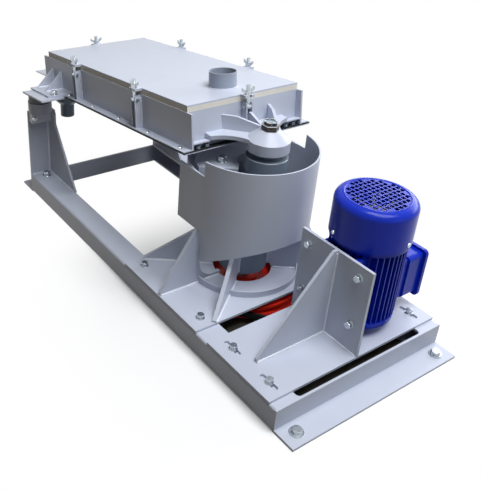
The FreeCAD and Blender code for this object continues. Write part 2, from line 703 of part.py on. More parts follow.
def belt_line():
    """Closed line of the belt's back round both pulleys."""
    big = PULLEY_R
    small = MOTOR_PULLEY_R
    dx = MOTOR_X - DRIVE_X
    dy = MOTOR_SHAFT_HEIGHT
    distance = math.hypot(dx, dy)
    heading = math.atan2(dy, dx)
    spread = math.acos((big - small) / distance)
    drive = V(DRIVE_X, 0, 0)
    motor = V(MOTOR_X, MOTOR_SHAFT_HEIGHT, 0)

    def on(centre, r, angle):
        return centre + V(math.cos(angle), math.sin(angle), 0) * r

    left, right = heading + spread, heading - spread
    return Part.Wire([
        Part.Arc(on(drive, big, left), on(drive, big, heading + math.pi), on(drive, big, right)).toShape(),
        Part.LineSegment(on(drive, big, right), on(motor, small, right)).toShape(),
        Part.Arc(on(motor, small, right), on(motor, small, heading), on(motor, small, left)).toShape(),
        Part.LineSegment(on(motor, small, left), on(drive, big, left)).toShape(),
    ])


def drive_belt():
    """V-belt as one fixed loop, flush with both rims."""
    half = BELT_WIDTH / 2
    inner_half = half - BELT_HEIGHT * math.tan(math.radians(BELT_FLANK))
    path = belt_line()
    path.translate(V(0, 0, BELT_Z))
    start = path.Vertexes[0].Point
    inward = (V(DRIVE_X, 0, BELT_Z) - start).normalize() * BELT_HEIGHT
    corners = [
        start - Z_AXIS * half, start + Z_AXIS * half,
        start + inward + Z_AXIS * inner_half, start + inward - Z_AXIS * inner_half,
    ]
    section = Part.makePolygon(corners + corners[:1])
    return path.makePipeShell([section], True, True)


# Motor and its seat

def motor_plate():
    """Slotted plate that slides to tension the belt."""
    half = MOTOR_PLATE_LENGTH / 2
    x = MOTOR_PLATE_CENTRE
    plate = block(x - half, x + half, -HALF_WIDTH, HALF_WIDTH, BASE_HEIGHT, DECK_TOP)
    cutters = [rod(MOTOR_X, MOTOR_SHAFT_HEIGHT, BASE_HEIGHT, DECK_TOP, MOTOR_PLATE_HOLE_R)]
    for step in (-1, 1):
        for side in (NEAR, FAR):
            slot_x = x + step * SLOT_PITCH / 2
            cutters.append(slot(slot_x, side * BOLT_Y, BASE_HEIGHT, DECK_TOP, SLOT_LENGTH, SLOT_R))
    return plate.cut(cutters)


def motor_bracket():
    """Upright plate for the motor's feet."""
    half = MOTOR_PLATE_LENGTH / 2
    top = DECK_TOP + BRACKET_HEIGHT
    plate = block(MOTOR_PLATE_CENTRE - half, MOTOR_PLATE_CENTRE + half, -BRACKET_SHEET, 0, DECK_TOP, top)
    return plate.cut([
        Part.makeCylinder(MOTOR_FOOT_HOLE_R, BRACKET_SHEET, V(x, -BRACKET_SHEET, z), Y_AXIS)
        for x, z in motor_foot_holes()
    ])


def motor_foot_holes():
    """Places of the four foot holes as (x, z)."""
    return [
        (MOTOR_X + step * MOTOR_FOOT_A / 2, MOTOR_FOOT_LOW_Z + rise * MOTOR_FOOT_B)
        for step in (-1, 1) for rise in (0, 1)
    ]


def bracket_gusset():
    """Triangular brace of the bracket, with a short toe at its foot."""
    x = MOTOR_PLATE_CENTRE - BRACKET_SHEET / 2
    back = -BRACKET_SHEET
    toe = back - BRACKET_GUSSET_REACH
    top = DECK_TOP + BRACKET_HEIGHT
    toe_height = 2 * RIB_TOE
    outline = [
        V(x, back, DECK_TOP), V(x, toe, DECK_TOP), V(x, toe, DECK_TOP + toe_height),
        V(x, back - toe_height, top), V(x, back, top),
    ]
    return prism(outline, V(BRACKET_SHEET, 0, 0))


def motor_body():
    """Finned stator housing with an end shield below and feet towards the bracket."""
    x, y = MOTOR_X, MOTOR_SHAFT_HEIGHT
    bore = MOTOR_SHAFT_R + RUNNING_FIT
    shield_r = COWL_R - COWL_SHEET - SEAT_GAP
    profile = [
        (bore, MOTOR_SHOULDER_Z), (MOTOR_BOSS_R, MOTOR_SHOULDER_Z),
        (MOTOR_CORE_R - MOTOR_SHIELD_SLOPE, MOTOR_SHOULDER_Z + MOTOR_SHIELD_SLOPE),
        (MOTOR_FIN_R, MOTOR_SHIELD_TOP - MOTOR_SHIELD_SLOPE),
        (MOTOR_FIN_R, MOTOR_SHIELD_TOP), (MOTOR_CORE_R, MOTOR_SHIELD_TOP),
        (MOTOR_CORE_R, MOTOR_BODY_TOP), (shield_r, MOTOR_BODY_TOP),
        (shield_r, MOTOR_REAR_TOP), (bore, MOTOR_REAR_TOP),
    ]
    core = turned(x, y, profile)
    return core.fuse(motor_fins() + motor_feet() + [terminal_neck()]).removeSplitter()


def motor_fins():
    """Cooling fins: parallel to X on the two sides, parallel to Y front and back."""
    fins = []
    inside = MOTOR_CORE_R - MOTOR_FIN_ROOT
    count = int(inside * math.sqrt(0.5) / MOTOR_FIN_PITCH)
    for i in range(-count, count + 1):
        offset = i * MOTOR_FIN_PITCH
        reach = math.sqrt(MOTOR_FIN_R ** 2 - offset ** 2)
        root = math.sqrt(inside ** 2 - offset ** 2)
        for angle in (0, 90, 180, 270):
            fin = block(root, reach, offset - MOTOR_FIN_SHEET / 2, offset + MOTOR_FIN_SHEET / 2,
                        MOTOR_SHIELD_TOP, MOTOR_BODY_TOP)
            fin = turned_about(fin, 0, 0, angle)
            fin.translate(V(MOTOR_X, MOTOR_SHAFT_HEIGHT, 0))
            fins.append(fin)
    return fins


def motor_feet():
    """Two foot rails between the body and the bracket, drilled for the foot bolts."""
    low = MOTOR_FOOT_LOW_Z - MOTOR_FOOT_PAD
    high = MOTOR_FOOT_LOW_Z + MOTOR_FOOT_B + MOTOR_FOOT_PAD
    feet = []
    for step in (-1, 1):
        centre = MOTOR_X + step * MOTOR_FOOT_A / 2
        inner = MOTOR_X + step * MOTOR_FOOT_INNER
        outer = centre + step * MOTOR_FOOT_PAD
        rail = block(min(inner, outer), max(inner, outer), 0, MOTOR_FOOT_T, low, high)
        web_x = MOTOR_X + step * MOTOR_FOOT_WEB_X
        web = block(web_x - MOTOR_FOOT_T / 2, web_x + MOTOR_FOOT_T / 2, MOTOR_FOOT_T,
                    MOTOR_FOOT_WEB_END, low, high)
        holes = [
            Part.makeCylinder(MOTOR_FOOT_HOLE_R, MOTOR_FOOT_T, V(x, 0, z), Y_AXIS)
            for x, z in motor_foot_holes() if abs(x - centre) < SAME_PLACE
        ]
        feet.append(rail.fuse(web).cut(holes))
    return feet


def terminal_neck():
    """Raised seat of the terminal box on the side away from the feet."""
    half = TERMINAL_WIDTH / 2 - TERMINAL_NECK_INSET
    root = MOTOR_SHAFT_HEIGHT + half
    low = max(TERMINAL_BOTTOM + TERMINAL_NECK_INSET, MOTOR_SHIELD_TOP)
    return block(MOTOR_X - half, MOTOR_X + half, root, TERMINAL_NEAR, low, TERMINAL_TOP - TERMINAL_NECK_INSET)


def terminal_box():
    """Cable box with a thicker lid, rounded at its corners."""
    half = TERMINAL_WIDTH / 2
    lid_y = TERMINAL_NEAR + TERMINAL_DEPTH - TERMINAL_LID
    body = rounded_block(half - TERMINAL_INSET, TERMINAL_NEAR, lid_y, TERMINAL_INSET)
    lid = rounded_block(half, lid_y, lid_y + TERMINAL_LID, 0)
    return body.fuse(lid)


def rounded_block(half, y0, y1, inset):
    """Block of the terminal box with four rounded corners."""
    low, high = TERMINAL_BOTTOM + inset, TERMINAL_TOP - inset
    outline = [
        V(MOTOR_X - half, y0, low), V(MOTOR_X + half, y0, low),
        V(MOTOR_X + half, y0, high), V(MOTOR_X - half, y0, high),
    ]
    return prism(outline, V(0, y1 - y0, 0), [TERMINAL_CORNER_R] * len(outline))


def motor_cowl():
    """Fan cowl: thin shell with a rounded top edge and a grid of square holes."""
    x, y = MOTOR_X, MOTOR_SHAFT_HEIGHT
    outer = rod(x, y, COWL_BOTTOM, COWL_TOP, COWL_R)
    outer = outer.makeFillet(COWL_EDGE_R, [e for e in outer.Edges if round_edge_at(e, COWL_R, COWL_TOP)])
    inner_r = COWL_R - COWL_SHEET
    inner_top = COWL_TOP - COWL_SHEET
    inner = rod(x, y, COWL_BOTTOM, inner_top, inner_r)
    edge = [e for e in inner.Edges if round_edge_at(e, inner_r, inner_top)]
    inner = inner.makeFillet(COWL_EDGE_R - COWL_SHEET, edge)
    shell = outer.cut(inner)
    return shell.cut(grille_holes())


def grille_holes():
    """Square holes of the grille, kept within a circle and off the centre."""
    holes = []
    steps = int(GRILLE_R / GRILLE_PITCH)
    for i in range(-steps, steps + 1):
        for j in range(-steps, steps + 1):
            dx, dy = i * GRILLE_PITCH, j * GRILLE_PITCH
            if math.hypot(dx, dy) > GRILLE_R or (i == 0 and j == 0):
                continue
            x, y = MOTOR_X + dx, MOTOR_SHAFT_HEIGHT + dy
            half = GRILLE_HOLE / 2
            holes.append(block(x - half, x + half, y - half, y + half, COWL_TOP - 2 * COWL_SHEET, COWL_TOP))
    return holes


def motor_shaft():
    """Motor shaft, from the pulley up to the fan."""
    bottom = MOTOR_SHOULDER_Z - MOTOR_SHAFT_LENGTH
    return rod(MOTOR_X, MOTOR_SHAFT_HEIGHT, bottom, FAN_TOP, MOTOR_SHAFT_R)


def motor_pulley():
    """Small pulley on the motor shaft."""
    profile = [
        (MOTOR_SHAFT_R, PULLEY_BOTTOM), (MOTOR_PULLEY_R, PULLEY_BOTTOM),
        (MOTOR_PULLEY_R, PULLEY_TOP), (MOTOR_SHAFT_R, PULLEY_TOP),
    ]
    return grooved_rim(MOTOR_X, MOTOR_SHAFT_HEIGHT, MOTOR_PULLEY_R, profile)


def motor_fan():
    """Fan under the cowl: hub, disc and straight blades."""
    x, y = MOTOR_X, MOTOR_SHAFT_HEIGHT
    hub_r = MOTOR_SHAFT_R + FAN_HUB_WALL
    root = MOTOR_SHAFT_R + FAN_HUB_WALL / 2
    hub = tube(x, y, FAN_BOTTOM, FAN_TOP, hub_r, FAN_HUB_WALL)
    disc = tube(x, y, FAN_BOTTOM, FAN_BOTTOM + FAN_SHEET, FAN_R, FAN_R - root)
    blades = []
    for i in range(FAN_BLADES):
        blade = block(root, FAN_R, -FAN_SHEET / 2, FAN_SHEET / 2, FAN_BOTTOM, FAN_TOP)
        blade.translate(V(x, y, 0))
        blades.append(turned_about(blade, x, y, i * 360 / FAN_BLADES))
    return hub.fuse([disc] + blades).removeSplitter()


# Sieve box, in its own frame

def side_wall(side):
    """Long wall of the sieve box."""
    wall = block(0, BOX_LENGTH, BOX_INNER, BOX_HALF, 0, BOX_WALL_HEIGHT)
    return in_box(wall if side == FAR else mirrored(wall))


def front_wall():
    """Wall at the crank end."""
    return in_box(block(FRONT_INSIDE_U, FRONT_WALL_U, -BOX_INNER, BOX_INNER, 0, BOX_WALL_HEIGHT))


def rear_wall():
    """Wall at the tail with the two discharge windows above the lip."""
    wall = block(REAR_WALL_U, REAR_INSIDE_U, -BOX_INNER, BOX_INNER, 0, BOX_WALL_HEIGHT)
    low = DECK_W + DECK_T
    outer = BOX_HALF - SLOT_WINDOW_INSET
    window = block(REAR_WALL_U, REAR_INSIDE_U, SLOT_WINDOW_INNER, outer, low, low + SLOT_WINDOW_HEIGHT)
    return in_box(wall.cut([window, mirrored(window)]))


def wall_flanges():
    """Flanges at the foot of the side walls and an angle across the front wall."""
    side = block(TAIL_PLATE_END, BOX_LENGTH, BOX_HALF, BOX_HALF + SIDE_FLANGE_REACH, 0, FLANGE_SHEET)
    top = FRONT_ANGLE_HEIGHT
    angle = block(FRONT_WALL_U, BOX_LENGTH, -BOX_INNER, BOX_INNER, 0, top)
    angle = angle.cut(block(FRONT_WALL_U, BOX_LENGTH - FRONT_ANGLE_SHEET, -BOX_INNER, BOX_INNER,
                            0, top - FRONT_ANGLE_SHEET))
    return in_box(Part.makeCompound([side, mirrored(side), angle]))


def outlet_opening(r, w0, w1):
    """Round way of the near outlet in a sheet, straight where the rear wall stands."""
    way = rod(OUTLET_U, -OUTLET_Y, w0, w1, r)
    return way.common(block(REAR_INSIDE_U, OUTLET_U + r, -OUTLET_Y - r, r - OUTLET_Y, w0, w1))


def pan_gasket():
    """Black rubber strip between the walls and the pan, open inside the walls."""
    half = PAN_GASKET_HALF
    sheet = block(0, PAN_FRONT, -half, half, -PAN_GASKET_T, 0)
    inside = block(REAR_INSIDE_U, FRONT_INSIDE_U, -BOX_INNER, BOX_INNER, -PAN_GASKET_T, 0)
    return in_box(sheet.cut(inside))


def bottom_pan():
    """Pan sheet that closes the box below, open at the two outlets."""
    sheet = block(0, PAN_FRONT, -PAN_HALF, PAN_HALF, PAN_BOTTOM, -PAN_GASKET_T)
    opening = outlet_opening(OUTLET_COLLAR_R - OUTLET_SHEET, PAN_BOTTOM, -PAN_GASKET_T)
    return in_box(sheet.cut([opening, mirrored(opening)]))


def outlet_spouts():
    """Two upright discharge spouts: collar, cone and stub, cut to the slope of the pan."""
    x, pan_z = box_point(OUTLET_U, PAN_BOTTOM)
    knee = pan_z - OUTLET_COLLAR_HEIGHT
    stub_top = knee - OUTLET_CONE
    stub_bottom = stub_top - OUTLET_STUB
    top = pan_z + OUTLET_COLLAR_R
    stub_bore = OUTLET_STUB_R - OUTLET_SHEET
    collar_bore = OUTLET_COLLAR_R - OUTLET_SHEET
    profile = [
        (stub_bore, stub_bottom), (OUTLET_STUB_R, stub_bottom), (OUTLET_STUB_R, stub_top),
        (OUTLET_COLLAR_R, knee), (OUTLET_COLLAR_R, top), (collar_bore, top),
        (collar_bore, knee), (stub_bore, stub_top),
    ]
    above_pan = in_box(block(-BOX_LENGTH, BOX_LENGTH, -BOX_HALF, BOX_HALF, PAN_BOTTOM, BOX_LENGTH))
    return both_sides(turned(x, OUTLET_Y, profile).cut(above_pan))


def sieve_deck():
    """Screening surface inside the box at the height of the lip."""
    return in_box(block(REAR_INSIDE_U, FRONT_INSIDE_U, -BOX_INNER, BOX_INNER, DECK_W, DECK_W + DECK_T))


def discharge_lip():
    """Flat lip behind the rear wall that carries the coarse product out."""
    half = BOX_HALF - LIP_INSET
    return in_box(block(REAR_WALL_U - LIP_LENGTH, REAR_WALL_U, -half, half, DECK_W, DECK_W + DECK_T))


def cover_gasket():
    """Cream rubber frame between the walls and the cover."""
    half = COVER_HALF
    inner = half - GASKET_WIDTH
    frame = block(REAR_WALL_U, FRONT_WALL_U, -half, half, BOX_WALL_HEIGHT, COVER_BOTTOM)
    inside = block(REAR_WALL_U + GASKET_WIDTH, FRONT_WALL_U - GASKET_WIDTH,
                   -inner, inner, BOX_WALL_HEIGHT, COVER_BOTTOM)
    return in_box(frame.cut(inside))


def cover():
    """Cover plate with the inlet hole and a slotted lug at each clamp."""
    plate = block(REAR_WALL_U, FRONT_WALL_U, -COVER_HALF, COVER_HALF, COVER_BOTTOM, COVER_TOP)
    lugs = [clamp_placed(cover_lug(site), site) for site in clamp_sites()]
    plate = plate.fuse(lugs).removeSplitter()
    return in_box(plate.cut(rod(SPOUT_U, 0, COVER_BOTTOM, COVER_TOP, SPOUT_R - SPOUT_SHEET)))


def inlet_spout():
    """Short round inlet on the cover."""
    return in_box(tube(SPOUT_U, 0, COVER_TOP, COVER_TOP + SPOUT_HEIGHT, SPOUT_R, SPOUT_SHEET))


# Clamps: drawn at the origin with the wall in the plane y = 0 and outside towards -Y

def clamp_sites():
    """Each clamp as (u, y, turn in degrees, foot height, distance back to the cover's edge)."""
    sites = []
    for step in (-1, 1):
        u = CLAMP_CENTRE_U + step * CLAMP_SPACING_U / 2
        sites.append((u, -BOX_HALF, 0, FLANGE_SHEET, COVER_INSET))
        sites.append((u, BOX_HALF, 180, FLANGE_SHEET, COVER_INSET))
    rear_site = (REAR_WALL_U, 0, -90, DECK_W + DECK_T, 0)
    return sites + [front_clamp_site(), rear_site]


def front_clamp_site():
    """The clamp on the front wall, which stands on the angle."""
    return FRONT_WALL_U, 0, 90, FRONT_ANGLE_HEIGHT, 0


def clamp_placed(shape, site):
    """Turns and moves a clamp piece to its wall."""
    u, y, turn, _, _ = site
    copy = turned_about(shape, 0, 0, turn)
    copy.translate(V(u, y, 0))
    return copy


def clamp_channel(site):
    """U channel, open outwards, drilled for the pivot of the swing bolt."""
    half = CLAMP_WIDTH / 2
    foot = site[3]
    channel = block(-half, half, -CLAMP_DEPTH, 0, foot, CLAMP_TOP)
    inner = half - CLAMP_SHEET
    channel = channel.cut(block(-inner, inner, -CLAMP_DEPTH, -CLAMP_SHEET, foot, CLAMP_TOP))
    reach = half + PIVOT_OVERHANG
    hole = Part.makeCylinder(PIVOT_R + SEAT_GAP, 2 * reach, V(-reach, -SWING_BOLT_OUT, PIVOT_W), X_AXIS)
    return channel.cut(hole)


def cover_lug(site):
    """Lug on the cover's edge with a slot that the swing bolt enters."""
    half = LUG_WIDTH / 2
    lug = block(-half, half, -LUG_REACH, site[4], COVER_TOP - LUG_SHEET, COVER_TOP)
    gap = SWING_BOLT_R + HOLE_CLEARANCE
    way = block(-gap, gap, -LUG_REACH, -SWING_BOLT_OUT, COVER_TOP - LUG_SHEET, COVER_TOP)
    return lug.cut([way, rod(0, -SWING_BOLT_OUT, COVER_TOP - LUG_SHEET, COVER_TOP, gap)])


def swing_bolt(site):
    """Eye bolt on its pivot pin with a wing nut above the lug."""
    inner = CLAMP_WIDTH / 2 - CLAMP_SHEET - HOLE_CLEARANCE
    reach = CLAMP_WIDTH / 2 + PIVOT_OVERHANG
    y = -SWING_BOLT_OUT
    pivot = Part.makeCylinder(PIVOT_R, 2 * reach, V(-reach, y, PIVOT_W), X_AXIS)
    eye = Part.makeCylinder(SWING_EYE_R, 2 * inner, V(-inner, y, PIVOT_W), X_AXIS)
    stem = rod(0, y, PIVOT_W, SWING_BOLT_TOP, SWING_BOLT_R)
    hub = rod(0, y, COVER_TOP, COVER_TOP + WING_HUB_HEIGHT, WING_HUB_R)
    wings = []
    for side in (-1, 1):
        low = V(side * SWING_BOLT_R / 2, y - WING_SHEET / 2, COVER_TOP + WING_SHEET / 2)
        tip = low + V(side * (WING_SPAN - SWING_BOLT_R / 2), 0, WING_RISE / 2)
        outline = [low, tip, tip + Z_AXIS * WING_RISE / 2, low + Z_AXIS * (WING_HUB_HEIGHT - WING_SHEET)]
        wings.append(prism(outline, V(0, WING_SHEET, 0)))
    return pivot.fuse([eye, stem, hub] + wings)


def all_clamps(piece):
    """One clamp piece at each clamp site."""
    return in_box(Part.makeCompound([clamp_placed(piece(site), site) for site in clamp_sites()]))


# Drive arm

def eccentric_housing():
    """Round bearing housing on the crank pin with a conical cap."""
    bore = PIN_R + RUNNING_FIT
    profile = [
        (bore, ECCENTRIC_BOTTOM), (ECCENTRIC_R, ECCENTRIC_BOTTOM), (ECCENTRIC_R, ECCENTRIC_SHOULDER),
        (CONE_TOP_R, CONE_TOP), (bore, CONE_TOP),
    ]
    return turned(CRANK_X, 0, profile)


def arm_start():
    """Where the arm's plate starts, inside the front wall."""
    return box_point(FRONT_INSIDE_U, ARM_RIB_TOP - BOX_ORIGIN_Z)[0]


def arm_plate():
    """Level plate, widest at the box, with concave sides down to the eccentric."""
    z = ARM_TOP - ARM_SHEET
    wide_x = box_point(BOX_LENGTH, 0)[0]
    tip_x = CRANK_X - ARM_TIP_SETBACK
    tip_y = math.sqrt(ECCENTRIC_R ** 2 - ARM_TIP_SETBACK ** 2)
    waist_x = wide_x + (tip_x - wide_x) * ARM_WAIST_PLACE
    start = arm_start()
    half = ARM_HALF_WIDTH
    edges = [
        Part.LineSegment(V(start, half, z), V(start, -half, z)).toShape(),
        Part.LineSegment(V(start, -half, z), V(wide_x, -half, z)).toShape(),
        Part.Arc(V(wide_x, -half, z), V(waist_x, -ARM_WAIST, z), V(tip_x, -tip_y, z)).toShape(),
        Part.LineSegment(V(tip_x, -tip_y, z), V(tip_x, tip_y, z)).toShape(),
        Part.Arc(V(tip_x, tip_y, z), V(waist_x, ARM_WAIST, z), V(wide_x, half, z)).toShape(),
        Part.LineSegment(V(wide_x, half, z), V(start, half, z)).toShape(),
    ]
    return Part.Face(Part.Wire(edges)).extrude(V(0, 0, ARM_SHEET))


def arm_rib(y_start, end, tip_z):
    """Rib from the front wall to the cone, level first, in the upright plane through both ends."""
    start = V(arm_start(), y_start, 0)
    way = end - start
    across = V(-way.y, way.x, 0).normalize() * ARM_RIB_SHEET
    low = start - across / 2
    knee = low + way * ARM_RIB_FLAT
    tip = low + way
    outline = [
        V(low.x, low.y, ARM_TOP), V(low.x, low.y, ARM_RIB_TOP), V(knee.x, knee.y, ARM_RIB_TOP),
        V(tip.x, tip.y, tip_z), V(tip.x, tip.y, ARM_TOP),
    ]
    return prism(outline, across)


def arm_ribs():
    """Near rib, middle rib and the far rib, which meets the cone on its far flank."""
    cone_edge = V(CRANK_X - CONE_TOP_R, 0, 0)
    far_x, far_y = FAR_RIB_END
    far_end = V(CRANK_X + far_x, far_y, 0)
    return [
        arm_rib(-ARM_RIB_Y, cone_edge, ARM_TIP_Z),
        arm_rib(0, cone_edge, ARM_TIP_Z),
        arm_rib(ARM_RIB_Y, far_end, ARM_TOP + FAR_RIB_TIP),
    ]


def drive_arm(housing):
    """Arm plate with three ribs, cut to the front wall, the clamp and the eccentric."""
    arm = arm_plate().fuse(arm_ribs()).removeSplitter()
    behind = block(0, FRONT_WALL_U, -BOX_HALF, BOX_HALF, -BOX_HALF, BOX_HALF)
    half = CLAMP_WIDTH / 2
    clamp = block(-half, half, -CLAMP_DEPTH, 0, FRONT_ANGLE_HEIGHT, COVER_TOP)
    clamp_space = clamp_placed(clamp, front_clamp_site())
    eccentric = rod(CRANK_X, 0, ECCENTRIC_BOTTOM, ECCENTRIC_SHOULDER, ECCENTRIC_R)
    nut_space = rod(CRANK_X, 0, ECCENTRIC_BOTTOM, NUT_TOP, CONE_TOP_R)
    return arm.cut([in_box(behind), in_box(clamp_space), housing, eccentric, nut_space])


# Tail brackets and supports

def tail_bracket():
    """Far bracket: upper plate, slide plate below it and two gussets, in the box's frame."""
    y = BOX_HALF
    t = TAIL_PLATE_SHEET
    end = TAIL_PLATE_END
    outline = [
        V(TAIL_PLATE_START, y, 0), V(end, y, 0), V(end, y + SIDE_FLANGE_REACH, 0),
        V(end - TAIL_PLATE_TAPER, TAIL_PLATE_Y, 0), V(TAIL_PLATE_START, TAIL_PLATE_Y, 0),
    ]
    plate = prism(outline, V(0, 0, t))
    slide_y = PAN_GASKET_HALF + SLIDE_PLATE_GAP
    slide = block(SLIDE_PLATE_START, SLIDE_PLATE_END, slide_y, SLIDE_PLATE_Y, PAN_BOTTOM, 0)
    gusset_y = y + TAIL_GUSSET_REACH
    gussets = [
        prism([V(u - t / 2, y, t), V(u - t / 2, gusset_y, t), V(u - t / 2, y, TAIL_GUSSET_TOP)], V(t, 0, 0))
        for u in TAIL_GUSSET_U
    ]
    return plate.fuse([slide] + gussets).removeSplitter()


def tail_post(side):
    """Back plate and side gusset of a tail post."""
    x = -HALF_LENGTH
    z = BASE_HEIGHT
    inner = BOX_HALF + POST_GUSSET_INNER - POST_SHEET / 2
    back = block(x, x + POST_SHEET, inner, HALF_WIDTH, z, POST_TOP)
    start = x + POST_SHEET
    outline = [
        V(start, inner, z), V(start, inner, POST_TOP), V(x + POST_GUSSET_TOP_DEPTH, inner, POST_TOP),
        V(x + POST_GUSSET_TOP_DEPTH, inner, POST_TOP - POST_GUSSET_DROP),
        V(x + POST_GUSSET_FOOT_DEPTH, inner, z + RIB_TOE), V(x + POST_GUSSET_FOOT_DEPTH, inner, z),
    ]
    gusset = prism(outline, V(0, POST_SHEET, 0)).cut(post_block())
    post = back.fuse(gusset).removeSplitter()
    return post if side == FAR else mirrored(post)


def post_block():
    """Block across the head of the far post."""
    start = POST_SHEET - HALF_LENGTH
    inner = BOX_HALF + CLAMP_BLOCK_INNER
    outer = HALF_WIDTH - CLAMP_BLOCK_OUTER
    return block(start, start + CLAMP_BLOCK_X, inner, outer, POST_TOP - CLAMP_BLOCK_HEIGHT, POST_TOP)


def support_cups():
    """Round cup on each post's block."""
    return both_sides(rod(SUPPORT_X, SUPPORT_Y, POST_TOP, SUPPORT_CUP_TOP, SUPPORT_CUP_R))


def slide_pads():
    """Bearing pad in each cup, its top cut to the slope of the slide plate."""
    pad = rod(SUPPORT_X, SUPPORT_Y, SUPPORT_CUP_TOP, BOX_ORIGIN_Z + SUPPORT_CUP_R, PAD_R)
    above = in_box(block(-BOX_LENGTH, BOX_LENGTH, 0, BOX_LENGTH, PAN_BOTTOM - SEAT_GAP, BOX_LENGTH))
    return both_sides(pad.cut(above))


def build_nodes():
    """Every named piece of the screen."""
    side_ribs = both_sides(side_rib())
    ribs = diagonal_ribs()
    housing = eccentric_housing()
    return {
        "side_member_near": side_member(NEAR),
        "side_member_far": side_member(FAR),
        "front_cross_member": cross_member(FRONT),
        "rear_cross_member": cross_member(REAR),
        "tail_post_near": tail_post(NEAR),
        "tail_post_far": tail_post(FAR),
        "post_clamps": both_sides(post_block()),
        "support_cups": support_cups(),
        "slide_pads": slide_pads(),
        "bearing_plate": bearing_plate(),
        "side_ribs": side_ribs,
        "diagonal_ribs": ribs,
        "plate_ring": plate_ring([side_ribs, ribs]),
        "drum_guard": drum_guard(),
        "drum_rear_wall": drum_rear_wall(),
        "bearing_housing": bearing_housing(),
        "motor_plate": motor_plate(),
        "motor_bracket": motor_bracket(),
        "bracket_gusset": bracket_gusset(),
        "motor_body": motor_body(),
        "motor_cowl": motor_cowl(),
        "terminal_box": terminal_box(),
        "drive_belt": drive_belt(),
        "motor_shaft": motor_shaft(),
        "motor_pulley": motor_pulley(),
        "motor_fan": motor_fan(),
        "drive_shaft": drive_shaft(),
        "driven_pulley": driven_pulley(),
        "crank_disc": crank_disc(),
        "counterweight": counterweight(),
        "crank_nut": crank_nut(),
        "side_wall_near": side_wall(NEAR),
        "side_wall_far": side_wall(FAR),
        "front_wall": front_wall(),
        "rear_wall": rear_wall(),
        "wall_flanges": wall_flanges(),
        "pan_gasket": pan_gasket(),
        "bottom_pan": bottom_pan(),
        "outlet_spouts": outlet_spouts(),
        "sieve_deck": sieve_deck(),
        "discharge_lip": discharge_lip(),
        "cover_gasket": cover_gasket(),
        "cover": cover(),
        "inlet_spout": inlet_spout(),
        "clamp_channels": all_clamps(clamp_channel),
        "swing_bolts": all_clamps(swing_bolt),
        "drive_arm": drive_arm(housing),
        "eccentric_housing": housing,
        "tail_brackets": in_box(both_sides(tail_bracket())),
    }


def main():
    os.makedirs("parts", exist_ok=True)
    for name, shape in build_nodes().items():
        shape.exportStep(f"parts/{name}.step")
        print(name, len(shape.Solids), "solids", round(shape.Volume / 1000, 1), "cm3", shape.isValid())


main()
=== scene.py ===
"""Dresses a crank-driven vibrating screen: enamels, rubber, steel, fasteners, welds and a pale studio."""

import json
import math

import bpy
import numpy as np
from mathutils import Matrix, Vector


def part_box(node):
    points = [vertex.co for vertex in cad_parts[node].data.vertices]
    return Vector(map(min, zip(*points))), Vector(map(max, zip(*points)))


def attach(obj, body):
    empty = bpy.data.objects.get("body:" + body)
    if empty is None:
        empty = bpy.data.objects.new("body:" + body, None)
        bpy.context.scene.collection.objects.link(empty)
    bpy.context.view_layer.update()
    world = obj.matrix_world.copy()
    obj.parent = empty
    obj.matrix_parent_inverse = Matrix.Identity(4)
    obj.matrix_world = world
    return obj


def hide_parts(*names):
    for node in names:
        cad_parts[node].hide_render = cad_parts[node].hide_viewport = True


bl_info = {
    "name": "Vibrating screen finish",
    "version": (1, 0, 0),
    "blender": (4, 5, 0),
    "location": "View3D > Sidebar > Screen",
    "description": "Adds fasteners, welds, finishes and a studio to a packed vibrating screen",
    "category": "Object",
}

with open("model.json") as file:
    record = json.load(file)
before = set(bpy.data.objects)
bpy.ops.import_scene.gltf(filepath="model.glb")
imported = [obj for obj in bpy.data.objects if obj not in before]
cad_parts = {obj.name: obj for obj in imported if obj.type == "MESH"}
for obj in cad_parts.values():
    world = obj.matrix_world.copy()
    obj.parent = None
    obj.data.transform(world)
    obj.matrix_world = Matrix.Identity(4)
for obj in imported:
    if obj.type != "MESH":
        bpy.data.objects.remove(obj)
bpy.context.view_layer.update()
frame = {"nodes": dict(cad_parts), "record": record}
MM = 0.001
FULL_TURN = 2 * math.pi
SIDES = (-1, 1)
UP, DOWN = (0, 0, 1), (0, 0, -1)


def linear(hex_colour):
    """Linear RGB of an sRGB hex colour such as B0B4BB."""
    srgb = np.array([int(hex_colour[i:i + 2], 16) / 255 for i in (0, 2, 4)])
    return tuple(np.where(srgb <= 0.04045, srgb / 12.92, ((srgb + 0.055) / 1.055) ** 2.4))


def box_mm(node):
    """Lowest and highest corner of a CAD node in millimetres."""
    low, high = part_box(node)
    return np.array(low) / MM, np.array(high) / MM


def mount(name):
    """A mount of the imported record."""
    return next(m for m in frame["record"]["mounts"] if m["name"] == name)


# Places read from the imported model, in millimetres. The sieve box has its own frame: u runs along it from its
# tail, y across, and w stands square on its pan.
INLET_U, INLET_W = 541.0, 97.8
BOX_AXIS = np.array(mount("inlet_collar")["axis"], float)
BOX_TURN = np.array([[BOX_AXIS[2], 0, BOX_AXIS[0]], [0, 1, 0], [-BOX_AXIS[0], 0, BOX_AXIS[2]]])
BOX_ORIGIN = np.array(mount("inlet_collar")["pos_m"]) / MM - BOX_TURN @ np.array([INLET_U, 0, INLET_W])
HOUSING_LOW, HOUSING_HIGH = box_mm("bearing_housing")
DRIVE = (HOUSING_LOW + HOUSING_HIGH) / 2
ECCENTRIC_LOW, ECCENTRIC_HIGH = box_mm("eccentric_housing")
CRANK = (ECCENTRIC_LOW + ECCENTRIC_HIGH) / 2
COWL_LOW, COWL_HIGH = box_mm("motor_cowl")
MOTOR = (COWL_LOW + COWL_HIGH) / 2
PLATE_LOW, PLATE_HIGH = box_mm("motor_plate")
PLATE_CENTRE = (PLATE_LOW[0] + PLATE_HIGH[0]) / 2
